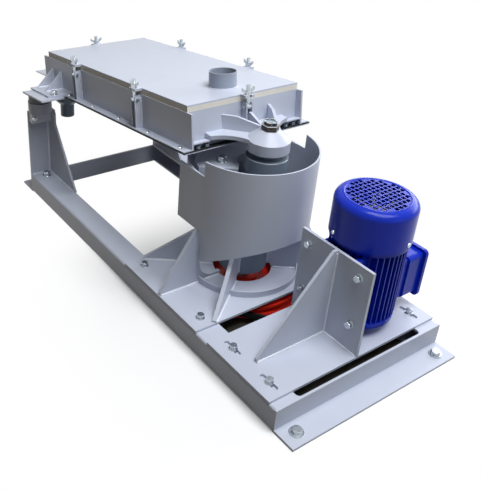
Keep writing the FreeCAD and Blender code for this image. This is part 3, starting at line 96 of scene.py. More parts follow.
NUT_LOW, NUT_HIGH = box_mm("crank_nut")
CLAMP_HIGH = box_mm("post_clamps")[1]

# Heights of the base, which is bent and cut from one thickness of sheet, in millimetres
SHEET = 5.0
FOOT_TOP = SHEET
DECK_TOP = PLATE_HIGH[2]
MEMBER_TOP = DECK_TOP - SHEET
MEMBER_UNDERSIDE = MEMBER_TOP - SHEET

# Bolt holes: across the base, in the foot flanges, from the drive's axis and from the motor plate's middle
BOLT_Y = 180.0
ANCHOR_X = 500.0
BEARING_BOLTS_X = (-100.0, 100.0)
MOTOR_BOLTS_X = (-48.5, 51.5)

# Tail posts and their clamp blocks, and the motor's feet: the spread, the heights and the outer face
POST_BOLT_Y = 178.0
CLAMP_SCREW_Y = 202.0
CLAMP_BLOCK_HEIGHT = 25.0
MOTOR_FOOT_A = 125.0
MOTOR_FOOT_Z = (110.5, 210.5)
MOTOR_FOOT_FACE = 9.0

# Crank pin's collar, castle nut's crown, ribs of the bearing plate, walls and tail plates of the sieve box
PIN_COLLAR = 13.0
NUT_CROWN = 6.0
RIB_ANGLE = 53.0
RIB_HALF_SHEET = 4.0
BOX_HALF = 136.0
BOX_INNER_HALF = 132.0
BOX_LENGTH = 626.0
TAIL_SHEET = 4.0

# Radii of the threads, in millimetres
M10, M8, M6 = 5.0, 4.0, 3.0
M8_PITCH = 1.25


def from_box(points):
    """Points of the sieve box's own tilted frame, moved to the frame of the part."""
    return np.asarray(points, float) @ BOX_TURN.T + BOX_ORIGIN


# Sizes and colours that a user would change

def size_property(label, words, metres):
    """A length property."""
    return bpy.props.FloatProperty(name=label, description=words, default=metres, subtype="DISTANCE",
                                   unit="LENGTH")


class FastenerSizes(bpy.types.PropertyGroup):
    """Sizes of the fasteners and the welds."""
    m10_flats: size_property("M10 width", "Width across the flats of the M10 heads", 0.0165)
    m8_flats: size_property("M8 width", "Width across the flats of the M8 heads", 0.013)
    m6_flats: size_property("M6 width", "Width across the flats of the M6 heads", 0.010)
    weld_radius: size_property("Weld radius", "Radius of the fillet weld beads", 0.0030)


def colour_property(label, words, hex_colour):
    """A colour property with its default given as sRGB hex."""
    return bpy.props.FloatVectorProperty(name=label, description=words, subtype="COLOR", size=3,
                                         min=0, max=1, default=linear(hex_colour))


class FinishColours(bpy.types.PropertyGroup):
    """Base colours of the finishes."""
    enamel: colour_property("Enamel", "Blue-grey enamel of the frame and the box", "C1C7D6")
    # The weld enamel is painted lighter than the frame's: a painted highlight, as where the ripples of the
    # beads catch the light
    weld_highlight_enamel: colour_property("Weld enamel", "Enamel where it lies thick on the weld beads", "E2E6F0")
    spout_enamel: colour_property("Spout enamel", "Grey enamel of the inlet spout", "9AA3B4")
    dark_enamel: colour_property("Dark enamel", "Dark grey enamel of the crank and the housings", "7A8796")
    motor_enamel: colour_property("Motor enamel", "Blue enamel of the motor", "0C2CB4")
    pulley_enamel: colour_property("Pulley enamel", "Red enamel of the pulleys", "F8301F")
    cream_rubber: colour_property("Cover seal", "Cream rubber of the cover's seal", "EAE6DC")
    black_rubber: colour_property("Pan seal", "Black rubber of the pan's seal", "17181B")
    slide_plastic: colour_property("Slide pads", "Dense plastic of the slide pads", "4A4C50")
    zinc: colour_property("Zinc", "Zinc plating of the fasteners", "D6DEE4")
    dark_steel: colour_property("Dark steel", "Oxidised steel of the castle nut", "524E4A")


# Meshes from arrays. A form is a surface in millimetres: its points, the point numbers of all its faces in
# one row, and how many points each face has.

def make_piece(name, form, body, slot, finish=None, smooth=35):
    """Puts a form into a mesh that rides on a body of the frame, in its slot's finish or in another one."""
    points, corners, counts = form
    mesh = bpy.data.meshes.new(name)
    mesh.vertices.add(len(points))
    mesh.vertices.foreach_set("co", (points * MM).ravel())
    mesh.loops.add(len(corners))
    mesh.loops.foreach_set("vertex_index", corners)
    mesh.polygons.add(len(counts))
    mesh.polygons.foreach_set("loop_start", np.cumsum(counts) - counts)
    mesh.update(calc_edges=True)
    mesh.validate()
    mesh.shade_smooth()
    mesh.set_sharp_from_angle(angle=math.radians(smooth))
    obj = bpy.data.objects.new(name, mesh)
    bpy.context.scene.collection.objects.link(obj)
    mesh.materials.append(material_of(finish or FINISH_OF_SLOT[slot]))
    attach(obj, body)
    return obj


def around(columns):
    """Angles spread evenly round a full turn."""
    return np.linspace(0, FULL_TURN, columns, endpoint=False)


def tube_faces(rows, columns):
    """Faces of a closed tube of rings: quads, and one flat face at each end."""
    i = np.arange(rows - 1)[:, None] * columns
    j = np.arange(columns)[None, :]
    k = (j + 1) % columns
    quads = np.stack([i + j, i + k, i + columns + k, i + columns + j], axis=-1)
    end = np.arange(columns)
    corners = np.concatenate([quads.ravel(), end[::-1], end + (rows - 1) * columns])
    return corners, np.append(np.full((rows - 1) * columns, 4), [columns, columns])


def polar_form(radius, angle, height):
    """Closed tube through the points at a radius, angle and height, three arrays over one grid of rings."""
    grid = np.stack(np.broadcast_arrays(radius * np.cos(angle), radius * np.sin(angle), height), axis=-1)
    return grid.reshape(-1, 3), *tube_faces(*grid.shape[:2])


def ring_form(centre, radii, heights, columns=72):
    """Ring: a closed profile of radii and heights carried round an upright axis."""
    turn = around(columns)[:, None]
    x, y = centre[0] + radii * np.cos(turn), centre[1] + radii * np.sin(turn)
    grid = np.stack(np.broadcast_arrays(x, y, heights), axis=-1)
    size = len(radii)
    i, j = np.arange(columns)[:, None] * size, np.arange(size)[None, :]
    ahead, k = (i + size) % (columns * size), (j + 1) % size
    quads = np.stack([i + j, ahead + j, ahead + k, i + k], axis=-1)
    return grid.reshape(-1, 3), quads.ravel(), np.full(columns * size, 4)


def hexagon(angles, flats):
    """Radius of a hexagon: half its width over the cosine of the angle from the nearest flat."""
    third = math.pi / 3
    return flats / 2 / np.cos((angles + third / 2) % third - third / 2)


def hex_head(flats, height, foot=0.0):
    """Hexagon head from foot up to height: rings of a hexagon whose corners a chamfer cone trims."""
    angles = around(36)
    full = hexagon(angles, flats)
    cone_foot, cone_top = flats / 2 * 1.08, flats / 2 * 0.96
    rings = np.stack([full, full, np.minimum(full, cone_foot), np.full_like(full, cone_top)])
    heights = foot + height * np.array([[0.0], [0.80], [0.90], [1.0]])
    return polar_form(rings, angles, heights)


def turned_form(profile, columns=28):
    """Profile of (radius, height) rows carried round the axis; each row is one ring."""
    radius, height = np.asarray(profile, float).T[..., None]
    return polar_form(radius, around(columns), height)


def thread_form(radius, pitch, low, high, columns=20):
    """Screw thread: radius less a triangle wave of height over pitch minus the turn, with a bevelled end."""
    rings_per_pitch, depth, bevel = 6, 0.32, 0.8
    rows = max(6, int((high - low) / pitch * rings_per_pitch) + 1)
    height = np.linspace(low, high, rows)[:, None]
    angles = around(columns)
    wave = np.abs(((height / pitch - angles / FULL_TURN) % 1) * 2 - 1)
    end = np.clip(height - high + pitch, 0, None)
    return polar_form(radius - depth * pitch * wave - end * bevel, angles, height)


def flat_washer(radius, sheet):
    """Flat washer: a disc with a small bevel on both edges."""
    edge = 0.3
    return turned_form([(radius - edge, 0), (radius, edge), (radius, sheet - edge), (radius - edge, sheet)])


def spring_washer(inner, outer, thickness, foot, columns=40):
    """Split ring: a rectangle carried round almost a full turn, rising by a third of its thickness."""
    half_split = 0.06
    turn = np.linspace(half_split, FULL_TURN - half_split, columns)[:, None]
    corner_r = np.array([inner, outer, outer, inner])
    corner_h = np.array([0, 0, 1, 1]) * thickness
    return polar_form(corner_r, turn, foot + corner_h + turn / FULL_TURN * thickness / 3)


WASHER_SHEET = 1.6
WASHER_SPREAD = 1.22


def bolt_form(flats, thread, washer=1.0, spring=True):
    """Hexagon head on a spring washer and a flat washer, all stood on the plane z = 0."""
    top = washer * WASHER_SHEET
    forms = [flat_washer(flats / 2 * WASHER_SPREAD * washer, top)]
    if spring:
        forms.append(spring_washer(thread, flats / 2 * 0.98, flats * 0.13, top))
        top += flats * 0.17
    forms.append(hex_head(flats, flats * 0.40, top))
    return stack(*forms)


def nut_form(flats, thread, pitch, stud):
    """Flat washer, hexagon nut and the threaded end of its bolt, which stands out by the stud's length."""
    height = flats * 0.5
    return stack(
        flat_washer(flats / 2 * WASHER_SPREAD, WASHER_SHEET),
        hex_head(flats, height, WASHER_SHEET),
        thread_form(thread, pitch, WASHER_SHEET, WASHER_SHEET + height + stud),
    )


def stack(*forms):
    """Joins several forms into one."""
    points, corners, counts = zip(*forms)
    starts = np.cumsum([0, *(len(part) for part in points[:-1])])
    moved = [part + start for part, start in zip(corners, starts)]
    return np.concatenate(points), np.concatenate(moved), np.concatenate(counts)


def placed(form, sites):
    """Copies of a form, each stood on a site of (place, outward direction, turn in degrees)."""
    points, corners, counts = form
    copies = []
    for place, way, turn in sites:
        z = np.asarray(way, float) / np.linalg.norm(way)
        x = np.cross([0, 1, 0] if abs(z[1]) < 0.9 else [1, 0, 0], z)
        x /= np.linalg.norm(x)
        y = np.cross(z, x)
        a = math.radians(turn)
        basis = np.stack([math.cos(a) * x + math.sin(a) * y, math.cos(a) * y - math.sin(a) * x, z])
        copies.append((points @ basis + np.asarray(place, float), corners, counts))
    return stack(*copies)


def carried(profile, way):
    """Bar: a closed flat profile carried straight along a way, with its faces turned outwards."""
    first = np.asarray(profile, float)
    area = np.cross(first, np.roll(first, -1, axis=0)).sum(axis=0)
    if area @ np.asarray(way, float) < 0:
        first = first[::-1]
    return np.concatenate([first, first + way]), *tube_faces(2, len(first))


def bead(start, end, radius, seed=0):
    """Weld bead: a round profile carried along a line, its radius rippled by each puddle of the weld."""
    step, puddle, swell = 1.3, 4.2, 23
    start, end = np.asarray(start, float), np.asarray(end, float)
    length = np.linalg.norm(end - start)
    rows = max(4, int(length / step))
    t = np.linspace(0, 1, rows)[:, None]
    along = (end - start) / length
    x = np.cross(along, [0.3, 0.5, 0.81])
    x /= np.linalg.norm(x)
    y = np.cross(along, x)
    angles = around(8)
    ripple = 0.16 * np.sin(t * length / puddle * FULL_TURN + seed)
    slow = 0.12 * np.sin(t * length / swell + seed * 1.7)
    # The ends are round: the radius grows from 0.45 of its full size
    ends = np.clip(np.minimum(t, 1 - t) * length / radius + 0.45, 0, 1)
    r = radius * (1 + ripple + slow) * ends
    centre = (start + t * (end - start))[:, None, :]
    grid = centre + (r * np.cos(angles))[..., None] * x + (r * np.sin(angles))[..., None] * y
    return grid.reshape(-1, 3), *tube_faces(rows, len(angles))


def ring_bead(ring_radius, radius):
    """Weld bead once round an upright axis, rippled like a straight one."""
    step, puddle = 1.6, 3.4
    length = FULL_TURN * ring_radius
    t = np.linspace(0, 1, int(length / step))[:, None]
    angles = around(8)
    r = radius * (1 + 0.10 * np.sin(t * length / puddle * FULL_TURN))
    return polar_form(ring_radius + r * np.cos(angles), t * FULL_TURN, r * np.sin(angles))


# Materials

def add(tree, kind, settings=None, **links):
    """Adds a node, sets its attributes, and gives named or numbered inputs a value or another's socket."""
    new = tree.nodes.new(kind)
    for key, value in (settings or {}).items():
        setattr(new, key, value)
    for key, value in links.items():
        numbered = key[0] == "i" and key[1:].isdigit()
        socket = new.inputs[int(key[1:])] if numbered else new.inputs[key.replace("_", " ")]
        if isinstance(value, bpy.types.NodeSocket):
            tree.links.new(value, socket)
        else:
            socket.default_value = value
    return new


def new_material(name, colour, **constants):
    """A material, its tree, its Principled shader with constants on the sockets, and Object coordinates."""
    material = bpy.data.materials.new(name)
    material.use_nodes = True
    tree = material.node_tree
    shader = tree.nodes["Principled BSDF"]
    shader.inputs["Base Color"].default_value = (*colour, 1)
    for key, value in constants.items():
        shader.inputs[key.replace("_", " ")].default_value = value
    return material, tree, shader, add(tree, "ShaderNodeTexCoord").outputs["Object"]


def per_metre(width_mm):
    """Scale of a noise, in whole patches to the metre, for patches of a width in millimetres."""
    return round(1 / (width_mm * MM))


def mottled(tree, shader, place, colour, patch_mm, share):
    """Varies a base colour by a soft noise, which darkens it by up to the share."""
    noise = add(tree, "ShaderNodeTexNoise", {"noise_dimensions": "3D"}, Vector=place,
                Scale=per_metre(patch_mm), Detail=4.0, Roughness=0.6)
    dark = tuple(c * (1 - share) for c in colour)
    mix = add(tree, "ShaderNodeMix", {"data_type": "RGBA"}, Factor=noise.outputs["Fac"],
              i6=(*colour, 1), i7=(*dark, 1))
    tree.links.new(mix.outputs[2], shader.inputs["Base Color"])


def grained(tree, shader, place, grain_mm, strength, depth_mm):
    """Gives a shader the fine relief of a noise."""
    noise = add(tree, "ShaderNodeTexNoise", Vector=place, Scale=per_metre(grain_mm), Detail=2.0)
    bump = add(tree, "ShaderNodeBump", Strength=strength, Distance=depth_mm * MM, Height=noise.outputs["Fac"])
    tree.links.new(bump.outputs["Normal"], shader.inputs["Normal"])


def rough_by(tree, shader, place, patch_mm, low, high):
    """Varies roughness between two values by a noise."""
    noise = add(tree, "ShaderNodeTexNoise", Vector=place, Scale=per_metre(patch_mm), Detail=3.0)
    spread = add(tree, "ShaderNodeMapRange", Value=noise.outputs["Fac"], To_Min=low, To_Max=high)
    tree.links.new(spread.outputs["Result"], shader.inputs["Roughness"])


def enamel(name, colour, gloss=0.34, peel=0.10, shine=0.3):
    """Sprayed enamel on sheet metal: an even colour, a soft gloss and the faint orange peel of the spray."""
    material, tree, shader, place = new_material(name, colour, Specular_IOR_Level=shine,
                                                 Coat_Weight=shine * 0.2, Coat_Roughness=0.18)
    # Slight changes of film thickness, some centimetres wide
    mottled(tree, shader, place, colour, 71.4, 0.07)
    # Orange peel is 1 to 2 mm wide on real enamel
    grained(tree, shader, place, 1.429, peel, 0.4)
    rough_by(tree, shader, place, 33.3, gloss - 0.05, gloss + 0.08)
    return material


def moulded_rubber(name, colour):
    """Cut rubber strip: matt, with a fine grain and dusty hollows."""
    material, tree, shader, place = new_material(name, colour, Specular_IOR_Level=0.3)
    mottled(tree, shader, place, colour, 16.7, 0.18)
    grained(tree, shader, place, 0.6667, 0.25, 0.3)
    rough_by(tree, shader, place, 25, 0.62, 0.8)
    return material


def turned_steel(name, colour, centre_mm):
    """Turned steel: fine rings round its axis, left by the tool, which draw the light into streaks."""
    material, tree, shader, place = new_material(name, colour, Metallic=1.0)
    centred = add(tree, "ShaderNodeMapping", Vector=place,
                  Location=(-centre_mm[0] * MM, -centre_mm[1] * MM, 0))
    # Tool marks about 2 mm apart, coarser than the real 0.2 mm so that they show. The wave node draws a ring
    # at each tenth of pi.
    rings = add(tree, "ShaderNodeTexWave", {"wave_type": "RINGS", "rings_direction": "Z"},
                Vector=centred.outputs["Vector"], Scale=round(math.pi / 10 / (1.96 * MM)), Distortion=0.4,
                Detail=1.0)
    bump = add(tree, "ShaderNodeBump", Strength=0.12, Distance=0.2 * MM, Height=rings.outputs["Fac"])
    tree.links.new(bump.outputs["Normal"], shader.inputs["Normal"])
    mottled(tree, shader, place, colour, 28.6, 0.15)
    rough_by(tree, shader, place, 16.7, 0.26, 0.42)
    return material


def plated_steel(name, colour):
    """Zinc plating on small steel parts: bright, with dull grey patches some millimetres wide."""
    material, tree, shader, place = new_material(name, colour, Metallic=1.0)
    mottled(tree, shader, place, colour, 3.85, 0.50)
    rough_by(tree, shader, place, 3.33, 0.18, 0.38)
    return material


def oxidised_steel(name, colour, highlight_heights_mm):
    """Heat-darkened steel, mottled and uneven in gloss, with painted highlights: bright bands at some heights,
    along its edges.
    """
    material, tree, shader, place = new_material(name, colour, Metallic=1.0)
    mottled(tree, shader, place, colour, 5.26, 0.80)
    height = add(tree, "ShaderNodeSeparateXYZ", Vector=place).outputs["Z"]
    for edge in highlight_heights_mm:
        # Each painted highlight is a bright band of E4E8EA 1 mm wide at one height, which fades out over 0.4 mm
        # on each side
        away = add(tree, "ShaderNodeMath", {"operation": "SUBTRACT"}, i0=height, i1=edge * MM)
        size = add(tree, "ShaderNodeMath", {"operation": "ABSOLUTE"}, i0=away.outputs[0])
        highlight_band = add(tree, "ShaderNodeMapRange", Value=size.outputs[0], From_Min=0.5 * MM, From_Max=0.9 * MM,
                   To_Min=1.0, To_Max=0.0)
        below = shader.inputs["Base Color"].links[0].from_socket
        mix = add(tree, "ShaderNodeMix", {"data_type": "RGBA"}, Factor=highlight_band.outputs["Result"], i6=below,
                  i7=(*linear("E4E8EA"), 1))
        tree.links.new(mix.outputs[2], shader.inputs["Base Color"])
    grained(tree, shader, place, 1.111, 0.2, 0.4)
    rough_by(tree, shader, place, 5, 0.18, 0.40)
    return material


def dense_plastic(name, colour):
    """Machined bearing plastic: matt with a faint sheen."""
    material, tree, shader, place = new_material(name, colour)
    mottled(tree, shader, place, colour, 11.1, 0.12)
    rough_by(tree, shader, place, 12.5, 0.42, 0.55)
    return material


def punched_sheet(name, colour):
    """Perforated screen sheet in dull steel: round holes on a square grid, painted near black as the shade
    inside each hole.
    """
    material, tree, shader, place = new_material(name, colour, Metallic=1.0, Roughness=0.4)
    hole_mm, pitch_mm = 3.0, 5.0
    cells = add(tree, "ShaderNodeTexVoronoi", {"feature": "F1"}, Vector=place, Scale=per_metre(pitch_mm),
                Randomness=0.0)
    sheet = add(tree, "ShaderNodeMath", {"operation": "LESS_THAN"}, i0=cells.outputs["Distance"],
                i1=hole_mm / 2 / pitch_mm)
    # Inside each hole the colour is painted near black: painted shade, as no hole is cut
    mix = add(tree, "ShaderNodeMix", {"data_type": "RGBA"}, Factor=sheet.outputs[0], i6=(*colour, 1),
              i7=(*(c * 0.06 for c in colour), 1))
    tree.links.new(mix.outputs[2], shader.inputs["Base Color"])
    return material


MATERIALS = {}
# Heights of the painted highlights on the castle nut's edges: the shoulder under its crown, and its top
NUT_HIGHLIGHT_HEIGHTS = (NUT_HIGH[2] - NUT_CROWN - 0.7, NUT_HIGH[2])


def material_of(key):
    """A finish by its short name, made at its first use."""
    colours = bpy.context.scene.screen_colours
    makers = {
        "enamel": lambda: enamel("sprayed_enamel_blue_grey", tuple(colours.enamel)),
        # The weld finish is lightened enamel, a painted highlight
        "weld": lambda: enamel("enamel_lightened_as_painted_highlight", tuple(colours.weld_highlight_enamel), 0.24, 0.20),
        "spout": lambda: enamel("sprayed_enamel_mid_grey", tuple(colours.spout_enamel)),
        "dark_enamel": lambda: enamel("brushed_enamel_dark_grey", tuple(colours.dark_enamel), 0.38, 0.16),
        "motor": lambda: enamel("motor_enamel_blue", tuple(colours.motor_enamel), 0.22, 0.05, 0.16),
        "pulley": lambda: enamel("pulley_enamel_red", tuple(colours.pulley_enamel), 0.36),
        "cream": lambda: moulded_rubber("cream_rubber_strip", tuple(colours.cream_rubber)),
        "black": lambda: moulded_rubber("black_rubber_sheet", tuple(colours.black_rubber)),
        "pad": lambda: dense_plastic("machined_bearing_plastic", tuple(colours.slide_plastic)),
        "fan": lambda: dense_plastic("moulded_fan_plastic", linear("A9A68E")),
        "shaft": lambda: turned_steel("turned_steel", linear("A7A9AC"), DRIVE),
        "zinc": lambda: plated_steel("zinc_plated_steel", tuple(colours.zinc)),
        "dark": lambda: oxidised_steel("oxidised_steel", tuple(colours.dark_steel), NUT_HIGHLIGHT_HEIGHTS),
        "sieve": lambda: punched_sheet("punched_screen_sheet", linear("9DA1A5")),
    }
    if key not in MATERIALS:
        MATERIALS[key] = makers[key]()
    return MATERIALS[key]


FINISH_OF_SLOT = {
    "frame_paint": "enamel", "box_paint": "enamel", "spout_paint": "spout", "gasket_cream": "cream",
    "gasket_black": "black", "motor_paint": "motor", "fan_plastic": "fan", "pulley_paint": "pulley",
    "belt_rubber": "black", "machined_steel": "shaft", "dark_steel": "dark", "zinc_steel": "zinc",
    "pad_plastic": "pad", "sieve_steel": "sieve", "dark_paint": "dark_enamel",
}
# Nodes whose paint is lighter than that of their slot: the support cups take the frame's enamel, and the clamp
# blocks the weld enamel as painted light, brighter than the shaded post under the box's tail
FINISH_OF_NODE = {"support_cups": "enamel", "post_clamps": "weld"}


class SCREEN_OT_finishes(bpy.types.Operator):
    """Gives each CAD node the finish of its material slot"""
    bl_idname = "screen.finishes"
    bl_label = "Finishes"
    bl_options = {"REGISTER", "UNDO"}

    def execute(self, context):
        slots = {entry["node"]: entry["material_slot"] for entry in frame["record"]["subparts"]}
        for name, obj in frame["nodes"].items():
            obj.data.materials.clear()
            obj.data.materials.append(material_of(FINISH_OF_NODE.get(name, FINISH_OF_SLOT[slots[name]])))
        return {"FINISHED"}


class SCREEN_OT_base_bolts(bpy.types.Operator):
    """Bolts and nuts of the bearing plate and the motor plate, anchor bolts, and bolts of the tail posts"""
    bl_idname = "screen.base_bolts"
    bl_label = "Base bolts"
    bl_options = {"REGISTER", "UNDO"}

    def execute(self, context):
        sizes = context.scene.screen_sizes
        m10, m8, m6 = sizes.m10_flats / MM, sizes.m8_flats / MM, sizes.m6_flats / MM
        along = [DRIVE[0] + x for x in BEARING_BOLTS_X] + [PLATE_CENTRE + x for x in MOTOR_BOLTS_X]
        plate = [(x, side * BOLT_Y) for x in along for side in SIDES]
        # Each head is turned by another angle, as the spanner left it
        heads = [((x, y, DECK_TOP), UP, 17 * i) for i, (x, y) in enumerate(plate)]
        make_piece("plate_bolts", placed(bolt_form(m8, M8, 1.05), heads), "root", "zinc_steel")
        nuts = [((x, y, MEMBER_UNDERSIDE), DOWN, 23 * i) for i, (x, y) in enumerate(plate)]
        make_piece("plate_nuts", placed(nut_form(m8, M8, M8_PITCH, 5.0), nuts), "root", "zinc_steel")
        anchors = [((sx * ANCHOR_X, sy * BOLT_Y, FOOT_TOP), UP, 31 * sx + 11 * sy)
                   for sx in SIDES for sy in SIDES]
        make_piece("anchor_bolts", placed(bolt_form(m10, M10, 1.3, False), anchors), "root", "zinc_steel")
        # Each tail post stands on one bolt, and its clamp block is held by a small one
        feet = [((CLAMP_HIGH[0] + 1, side * POST_BOLT_Y, MEMBER_TOP), UP, 14) for side in SIDES]
        block_middle = CLAMP_HIGH[2] - CLAMP_BLOCK_HEIGHT / 2
        clamps = [((CLAMP_HIGH[0], side * CLAMP_SCREW_Y, block_middle), (1, 0, 0), 8) for side in SIDES]
        make_piece("post_bolts", stack(placed(bolt_form(m10, M10, 1.04), feet),
                                       placed(bolt_form(m6, M6, 1.0, False), clamps)), "root", "zinc_steel")
        return {"FINISHED"}


class SCREEN_OT_motor_bolts(bpy.types.Operator):
    """Foot bolts of the motor with their nuts, and the screws of its cowl"""
    bl_idname = "screen.motor_bolts"
    bl_label = "Motor bolts"
    bl_options = {"REGISTER", "UNDO"}

    def execute(self, context):
        m8 = context.scene.screen_sizes.m8_flats / MM
        bracket_face = box_mm("motor_bracket")[0][1]
        feet = [(MOTOR[0] + side * MOTOR_FOOT_A / 2, z) for side in SIDES for z in MOTOR_FOOT_Z]
        heads = [((x, bracket_face, z), (0, -1, 0), 20 * i) for i, (x, z) in enumerate(feet)]
        make_piece("foot_bolts", placed(bolt_form(m8, M8), heads), "root", "zinc_steel")
        nuts = [((x, MOTOR_FOOT_FACE, z), (0, 1, 0), 35 * i) for i, (x, z) in enumerate(feet)]
        make_piece("foot_nuts", placed(nut_form(m8, M8, M8_PITCH, 4.0), nuts), "root", "zinc_steel")
        # Three screws a third of a turn apart, near the cowl's edge
        middle = np.array([MOTOR[0], MOTOR[1], COWL_LOW[2] + 9])
        radius = (COWL_HIGH[0] - COWL_LOW[0]) / 2
        ways = [np.array([math.cos(a), math.sin(a), 0]) for a in np.radians([-109, 11, 131])]
        head = turned_form([(4.6, 0), (4.6, 0.8), (4.2, 2.0), (3.0, 2.9), (1.2, 3.2)], 20)
        screws = [(middle + radius * way, way, 0) for way in ways]
        make_piece("cowl_screws", placed(head, screws), "root", "zinc_steel")
        return {"FINISHED"}


class SCREEN_OT_cowl_ring(bpy.types.Operator):
    """Pressed ring round the grille of the fan cowl, and the boss in its middle, black as painted shade of the
    small dimple there
    """
    bl_idname = "screen.cowl_ring"
    bl_label = "Cowl ring"
    bl_options = {"REGISTER", "UNDO"}

    def execute(self, context):
        top = COWL_HIGH[2]
        # An oval section, 2.6 mm by 1.5 mm from its middle, at a radius of 60 mm
        s = around(8)
        ring = ring_form(MOTOR, 60.0 + 2.6 * np.cos(s), top - 0.4 + 1.5 * np.sin(s))
        make_piece("cowl_ring", ring, "root", "motor_paint", smooth=60)
        boss = turned_form([(3.4, -0.4), (3.4, 0.4), (3.0, 0.9), (1.6, 1.2), (0.3, 1.25)], 24)
        # The boss is black: painted shade of the small dark dimple in the middle of the grille
        make_piece("cowl_boss", placed(boss, [((MOTOR[0], MOTOR[1], top), UP, 0)]), "root", "gasket_black")
        return {"FINISHED"}


class SCREEN_OT_box_bolts(bpy.types.Operator):
    """Screws that hold the foot flanges on the seal and the pan, and the bolts of the tail plates"""
    bl_idname = "screen.box_bolts"
    bl_label = "Box bolts"
    bl_options = {"REGISTER", "UNDO"}

    def execute(self, context):
        m8 = context.scene.screen_sizes.m8_flats / MM
        screws_u, screw_y, flange_top = (146.0, 260.0, 374.0, 488.0, 602.0), 147.0, 2.0
        screws = [(from_box((u, side * screw_y, flange_top)), BOX_AXIS, 25 * u)
                  for u in screws_u for side in SIDES]
        head = turned_form([(4.4, 0), (4.9, 0.5), (4.6, 1.6), (3.6, 2.6), (1.9, 3.1), (0.5, 3.2)], 24)
        make_piece("flange_screws", placed(head, screws), "screen_box", "zinc_steel")
        bolt_u, bolt_y = 124.0, 176.0
        tail = [(from_box((bolt_u, side * bolt_y, TAIL_SHEET)), BOX_AXIS, 20 * side) for side in SIDES]
        make_piece("tail_bolts", placed(bolt_form(m8, M8, 1.1), tail), "screen_box", "zinc_steel")
        return {"FINISHED"}


class SCREEN_OT_wall_flanges(bpy.types.Operator):
    """Flanges at the foot of the side walls, and the angle on the front wall, open to the front"""
    bl_idname = "screen.wall_flanges"
    bl_label = "Wall flanges"
    bl_options = {"REGISTER", "UNDO"}

    def execute(self, context):
        m6 = context.scene.screen_sizes.m6_flats / MM
        edge = 0.3
        # Side flanges: flat bars from the tail plates to the front
        start, outer, sheet = 144.0, 155.0, 2.0
        forms = []
        for y0, y1 in ((-outer, -BOX_HALF), (BOX_HALF, outer)):
            flat = [(y0, 0), (y1, 0), (y1, sheet - edge), (y1 - edge, sheet), (y0 + edge, sheet),
                    (y0, sheet - edge)]
            forms.append(carried([(start, y, w) for y, w in flat], (BOX_LENGTH - start, 0, 0)))
        # Angle: one leg on the wall, the other on top, with a bend of 2 mm between them
        wall, top, leg, bend = 611.0, 13.0, 3.0, 2.0
        corner = [(wall + bend + bend * math.cos(a), top - bend + bend * math.sin(a))
                  for a in np.radians([180, 157, 135, 112, 90])]
        angle = [(wall, 0), *corner, (BOX_LENGTH - edge, top), (BOX_LENGTH, top - edge),
                 (BOX_LENGTH, top - leg + edge), (BOX_LENGTH - edge, top - leg), (wall + leg, top - leg),
                 (wall + leg, 0)]
        forms.append(carried([(u, -BOX_INNER_HALF, w) for u, w in angle], (0, 2 * BOX_INNER_HALF, 0)))
        points, corners, counts = stack(*forms)
        piece = make_piece("flanges_and_front_angle", (from_box(points), corners, counts), "screen_box",
                           "box_paint", smooth=30)
        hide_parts("wall_flanges")
        # Two bolts stand on the pan under each end of the angle; their dark enamel is painted shade, for the
        # shadow under the angle
        sites = [(from_box((619.5, y, 0.0)), BOX_AXIS, 30 + y) for y in (-118.0, -98.0, 98.0, 118.0)]
        make_piece("front_flange_bolts", placed(bolt_form(m6 * 0.85, M6, 0.9, False), sites), "screen_box",
                   "dark_paint")
        return {"FINISHED"}


class SCREEN_OT_crank_trim(bpy.types.Operator):
    """Bolts of the counterweight, the bright rim of the crank disc, and the split pin of the castle nut"""
    bl_idname = "screen.crank_trim"
    bl_label = "Crank trim"
    bl_options = {"REGISTER", "UNDO"}

    def execute(self, context):
        m10 = context.scene.screen_sizes.m10_flats / MM
        weight_top = box_mm("counterweight")[1][2]
        sites = [((DRIVE[0] - 30.0, side * 54.0, weight_top), UP, 12) for side in SIDES]
        make_piece("weight_bolts", placed(bolt_form(m10, M10, 1.04), sites), "crank_rotor", "zinc_steel")
        # Bright rim: the chamfer left by the lathe round the top of the crank disc, free of paint
        disc_top = ECCENTRIC_LOW[2] - PIN_COLLAR
        rim_r, rim_h = np.array([(42.0, -0.8), (42.1, -0.5), (41.7, 0.1), (41.5, -0.1)]).T
        rim = ring_form(CRANK, rim_r, disc_top + rim_h)
        make_piece("crank_rim", rim, "crank_rotor", "machined_steel")
        # Split pin: a round bar through the slots of the nut's crown
        lift, heading = 5.5, 0.55
        middle = (CRANK[0], CRANK[1], (NUT_LOW[2] + NUT_HIGH[2]) / 2 + lift)
        pin = turned_form([(1.4, -14), (1.7, -13.6), (1.7, 13.6), (1.4, 14)], 12)
        site = (middle, (math.cos(heading), math.sin(heading), 0), 0)
        make_piece("split_pin", placed(pin, [site]), "crank_rotor", "zinc_steel")
        return {"FINISHED"}


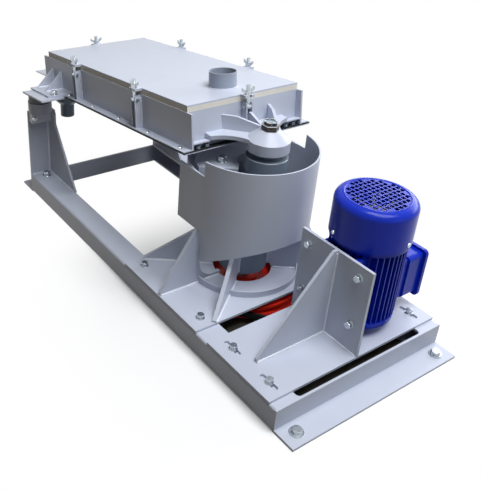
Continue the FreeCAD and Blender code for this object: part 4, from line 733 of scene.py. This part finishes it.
class SCREEN_OT_frame_welds(bpy.types.Operator):
    """Fillet welds of the ribs, the motor's bracket and the tail posts"""
    bl_idname = "screen.frame_welds"
    bl_label = "Frame welds"
    bl_options = {"REGISTER", "UNDO"}

    def execute(self, context):
        r = context.scene.screen_sizes.weld_radius / MM
        beads = []
        # Ribs: both sides of each foot, and of the edge that meets the bearing housing
        rib_start, rib_end = 64, 207
        housing_r, housing_low, housing_high = 50, 12, 112
        foot = np.array([DRIVE[0], 0, DECK_TOP])
        for k, angle in enumerate((RIB_ANGLE, 180 - RIB_ANGLE, 180 + RIB_ANGLE, 360 - RIB_ANGLE)):
            way = np.array([math.cos(math.radians(angle)), math.sin(math.radians(angle)), 0])
            side = np.array([-way[1], way[0], 0]) * RIB_HALF_SHEET
            for s in SIDES:
                start, end = (foot + way * reach + side * s for reach in (rib_start, rib_end))
                beads.append(bead(start, end, r, k + s))
                up = foot + way * housing_r + side * s
                beads.append(bead(up + [0, 0, housing_low], up + [0, 0, housing_high], r, k - s))
        for side in SIDES:
            for s in (-RIB_HALF_SHEET, RIB_HALF_SHEET):
                x = DRIVE[0] + s
                beads.append(bead((x, side * rib_start, DECK_TOP), (x, side * rib_end, DECK_TOP), r, s))
        # Motor's bracket and its gusset
        low, high = box_mm("bracket_gusset")
        for x in (low[0], high[0]):
            beads.append(bead((x, low[1], DECK_TOP), (x, high[1], DECK_TOP), r, x))
            beads.append(bead((x, high[1], DECK_TOP), (x, high[1], high[2] - 4), r, x + 1))
        low, high = box_mm("motor_bracket")
        for y in (low[1], high[1]):
            beads.append(bead((low[0] + 1, y, DECK_TOP), (high[0] - 1, y, DECK_TOP), r, y))
        # Tail posts: both sides of the web, and the corner between web and back
        web, half, foot_end, post_low, post_high = 157.0, SHEET / 2, 209, 50, 200
        for side, name in ((-1, "tail_post_near"), (1, "tail_post_far")):
            low, high = box_mm(name)
            for y in (web - half, web + half):
                start, end = ((x, side * y, MEMBER_TOP) for x in (low[0] + 6, high[0] - 1))
                beads.append(bead(start, end, r, y))
            x, y = low[0] + SHEET, side * (web + half)
            beads.append(bead((x, y, post_low), (x, y, post_high), r, 3))
            beads.append(bead((x, side * (web + 3), MEMBER_TOP), (x, side * foot_end, MEMBER_TOP), r, 5))
        # The beads take the lighter weld enamel, a painted highlight
        make_piece("frame_welds", stack(*beads), "root", "frame_paint", "weld", 80)
        return {"FINISHED"}


class SCREEN_OT_box_welds(bpy.types.Operator):
    """Fillet welds of the box: tail plates and gussets, clamp channels and the inlet collar"""
    bl_idname = "screen.box_welds"
    bl_label = "Box welds"
    bl_options = {"REGISTER", "UNDO"}

    def execute(self, context):
        r = context.scene.screen_sizes.weld_radius / MM * 0.8
        gussets_u, gusset_start, gusset_end, gusset_top = (41.0, 86.0), 137, 178, 44
        plate_start, plate_end = 30, 142
        channels_u, channel_half, channel_top = (183.0, 443.0), 8.5, 64
        beads = []

        def add_bead(start, end, seed):
            beads.append(bead(from_box(start), from_box(end), r, seed))

        for side in SIDES:
            wall = side * BOX_HALF
            for u in gussets_u:
                for s in (-TAIL_SHEET / 2, TAIL_SHEET / 2):
                    foot = (u + s, side * gusset_start, TAIL_SHEET)
                    add_bead(foot, (u + s, side * gusset_end, TAIL_SHEET), u)
                    add_bead((u + s, wall, TAIL_SHEET + 1), (u + s, wall, gusset_top), u + 1)
            add_bead((plate_start, wall, TAIL_SHEET), (plate_end, wall, TAIL_SHEET), side)
            for s in SIDES:
                for u in channels_u:
                    flank = u + s * channel_half
                    add_bead((flank, wall, 2), (flank, wall, channel_top), u)
        # The beads take the lighter weld enamel, a painted highlight
        make_piece("box_welds", stack(*beads), "screen_box", "box_paint", "weld", 80)
        # The inlet spout, 28 mm in radius, stands on the cover
        collar = placed(ring_bead(28.0, 1.8), [(from_box((INLET_U, 0, 82.3)), BOX_AXIS, 0)])
        make_piece("collar_weld", collar, "screen_box", "box_paint", smooth=80)
        return {"FINISHED"}


class SCREEN_OT_stage(bpy.types.Operator):
    """Pale floor, soft studio light and the camera of the photograph"""
    bl_idname = "screen.stage"
    bl_label = "Stage"
    bl_options = {"REGISTER", "UNDO"}

    def execute(self, context):
        make_floor()
        make_lights()
        make_camera()
        context.scene.view_settings.view_transform = "Standard"
        return {"FINISHED"}


FLOOR_WHITE = "FAFAFA"


def make_floor():
    """Floor: it keeps the shadow under and beside the screen, has a painted shade right under the drive end's
    plates, and fades to plain white further out.
    """
    size = 6.0
    mesh = bpy.data.meshes.new("floor")
    mesh.from_pydata([(-size, -size, 0), (size, -size, 0), (size, size, 0), (-size, size, 0)], [],
                     [(0, 1, 2, 3)])
    floor = bpy.data.objects.new("floor", mesh)
    bpy.context.scene.collection.objects.link(floor)
    material, tree, shader, place = new_material("studio_floor", linear(FLOOR_WHITE), Roughness=0.8)
    # Distance in metres from a rectangle under the drive end, whose plates keep the light off the floor
    distance = place
    middle, half_sides, zero = (0.24, 0, 0), (0.20, 0.16, 0), (0, 0, 0)
    for operation, other in (("SUBTRACT", middle), ("ABSOLUTE", zero), ("SUBTRACT", half_sides),
                             ("MAXIMUM", zero), ("LENGTH", zero)):
        step = add(tree, "ShaderNodeVectorMath", {"operation": operation}, i0=distance, i1=other)
        distance = step.outputs["Value" if operation == "LENGTH" else "Vector"]
    # White grows with that distance
    share = add(tree, "ShaderNodeMapRange", {"interpolation_type": "SMOOTHSTEP"}, Value=distance,
                From_Max=0.30)
    # Right under the plates the floor is painted a dark brownish grey shade, which shows through the slots
    under_plate_shade = add(tree, "ShaderNodeMapRange", Value=distance, From_Max=0.05)
    shade = add(tree, "ShaderNodeMix", {"data_type": "RGBA"}, Factor=under_plate_shade.outputs["Result"],
                i6=(*linear("524F44"), 1), i7=(*linear(FLOOR_WHITE), 1))
    tree.links.new(shade.outputs[2], shader.inputs["Base Color"])
    # The floor throws less light back on the screen than it shows to the camera and in reflections
    dull = add(tree, "ShaderNodeBsdfDiffuse", Color=(*linear("736E67"), 1))
    glow = add(tree, "ShaderNodeEmission", Color=(1, 1, 1, 1), Strength=1.0)
    shown = add(tree, "ShaderNodeMixShader", i0=share.outputs[0], i1=shader.outputs[0], i2=glow.outputs[0])
    mix = add(tree, "ShaderNodeMixShader", i0=seen_directly(tree), i1=dull.outputs[0], i2=shown.outputs[0])
    tree.links.new(mix.outputs[0], tree.nodes["Material Output"].inputs["Surface"])
    mesh.materials.append(material)


def seen_directly(tree):
    """One for rays of the camera, of reflections and of glass, and zero for light that is thrown back."""
    path = add(tree, "ShaderNodeLightPath")
    first = add(tree, "ShaderNodeMath", {"operation": "MAXIMUM"}, i0=path.outputs["Is Camera Ray"],
                i1=path.outputs["Is Glossy Ray"])
    return add(tree, "ShaderNodeMath", {"operation": "MAXIMUM"}, i0=first.outputs[0],
               i1=path.outputs["Is Transmission Ray"]).outputs[0]


def area_light(name, place, target, size, watts, colour):
    """Soft rectangular lamp that faces its target."""
    lamp = bpy.data.lights.new(name, "AREA")
    lamp.shape = "RECTANGLE"
    lamp.size, lamp.size_y = size
    lamp.energy = watts
    lamp.color = colour
    obj = bpy.data.objects.new(name, lamp)
    bpy.context.scene.collection.objects.link(obj)
    back = np.array(place, float) - np.array(target, float)
    back /= np.linalg.norm(back)
    right = np.cross(UP, back)
    right /= np.linalg.norm(right)
    up = np.cross(back, right)
    basis = Matrix(np.stack([right, up, back], axis=1).tolist()).to_4x4()
    basis.translation = place
    obj.matrix_world = basis


# Name, place, target, size in metres, watts and colour
LAMPS = (
    ("key_lamp", (1.15, 0.15, 2.45), (0, 0, 0.2), (1.4, 1.0), 44, (0.96, 0.98, 1.0)),
    ("top_lamp", (0.30, 0.10, 2.5), (0.1, 0.05, 0.2), (1.0, 0.5), 24, (0.97, 0.98, 1.0)),
    ("far_side_lamp", (-0.1, 2.2, 1.1), (0, 0, 0.1), (2.4, 0.8), 34, (0.95, 0.97, 1.0)),
    ("motor_end_lamp", (2.7, 0.5, 0.8), (0.1, 0, 0.3), (1.4, 1.2), 4, (0.70, 0.86, 1.0)),
)


def make_lights():
    """Soft key lamp high over the motor's end, others overhead, beyond the far side and low before that end,
    and a dim warm room that shows as plain white."""
    world = bpy.data.worlds.new("studio")
    bpy.context.scene.world = world
    world.use_nodes = True
    tree = world.node_tree
    room = tree.nodes["Background"]
    room.inputs["Color"].default_value = (1.0, 0.94, 0.84, 1)
    room.inputs["Strength"].default_value = 0.085
    white = add(tree, "ShaderNodeBackground", Color=(1, 1, 1, 1), Strength=1.0)
    mix = add(tree, "ShaderNodeMixShader", i0=seen_directly(tree), i1=room.outputs[0], i2=white.outputs[0])
    tree.links.new(mix.outputs[0], tree.nodes["World Output"].inputs["Surface"])
    for lamp in LAMPS:
        area_light(*lamp)


def make_camera():
    """Camera placed and turned as the photograph's was, from a fit to the edges of the base and the box."""
    camera = bpy.data.cameras.new("photo_camera")
    obj = bpy.data.objects.new("photo_camera", camera)
    bpy.context.scene.collection.objects.link(obj)
    # The frame, the focal length and the middle of the view, in the photograph's pixels
    width, height, focal, middle = 481, 490, 716.53, (205.80, 201.92)
    camera.sensor_width = 36.0
    camera.lens = focal / height * camera.sensor_width
    camera.shift_x = (width / 2 - middle[0]) / height
    camera.shift_y = (middle[1] - height / 2) / height
    camera.clip_start, camera.clip_end = 0.05, 50
    right, up, back = (0.5857, 0.8081, 0.0630), (-0.4327, 0.2460, 0.8673), (0.6854, -0.5352, 0.4937)
    turn = Matrix(np.stack([right, up, back], axis=1).tolist()).to_4x4()
    turn.translation = (1.0603, -0.8424, 0.9120)
    obj.matrix_world = turn
    bpy.context.scene.camera = obj


class SCREEN_PT_panel(bpy.types.Panel):
    """Lists the screen's operators in the sidebar"""
    bl_idname = "SCREEN_PT_panel"
    bl_label = "Vibrating screen"
    bl_space_type = "VIEW_3D"
    bl_region_type = "UI"
    bl_category = "Screen"

    def draw(self, context):
        for operator in OPERATORS:
            self.layout.operator(operator.bl_idname)


OPERATORS = (
    SCREEN_OT_finishes, SCREEN_OT_base_bolts, SCREEN_OT_motor_bolts, SCREEN_OT_cowl_ring, SCREEN_OT_box_bolts,
    SCREEN_OT_wall_flanges, SCREEN_OT_crank_trim, SCREEN_OT_frame_welds, SCREEN_OT_box_welds, SCREEN_OT_stage,
)
CLASSES = (FastenerSizes, FinishColours, *OPERATORS, SCREEN_PT_panel)


def register():
    """Registers the classes and gives the scene its sizes and colours."""
    for cls in CLASSES:
        bpy.utils.register_class(cls)
    bpy.types.Scene.screen_sizes = bpy.props.PointerProperty(type=FastenerSizes)
    bpy.types.Scene.screen_colours = bpy.props.PointerProperty(type=FinishColours)


def unregister():
    """Takes back what register does."""
    del bpy.types.Scene.screen_colours
    del bpy.types.Scene.screen_sizes
    for cls in reversed(CLASSES):
        bpy.utils.unregister_class(cls)


def main():
    """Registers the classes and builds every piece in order."""
    register()
    for operator in OPERATORS:
        group, name = operator.bl_idname.split(".")
        getattr(getattr(bpy.ops, group), name)()


if __name__ == "__main__":
    main()
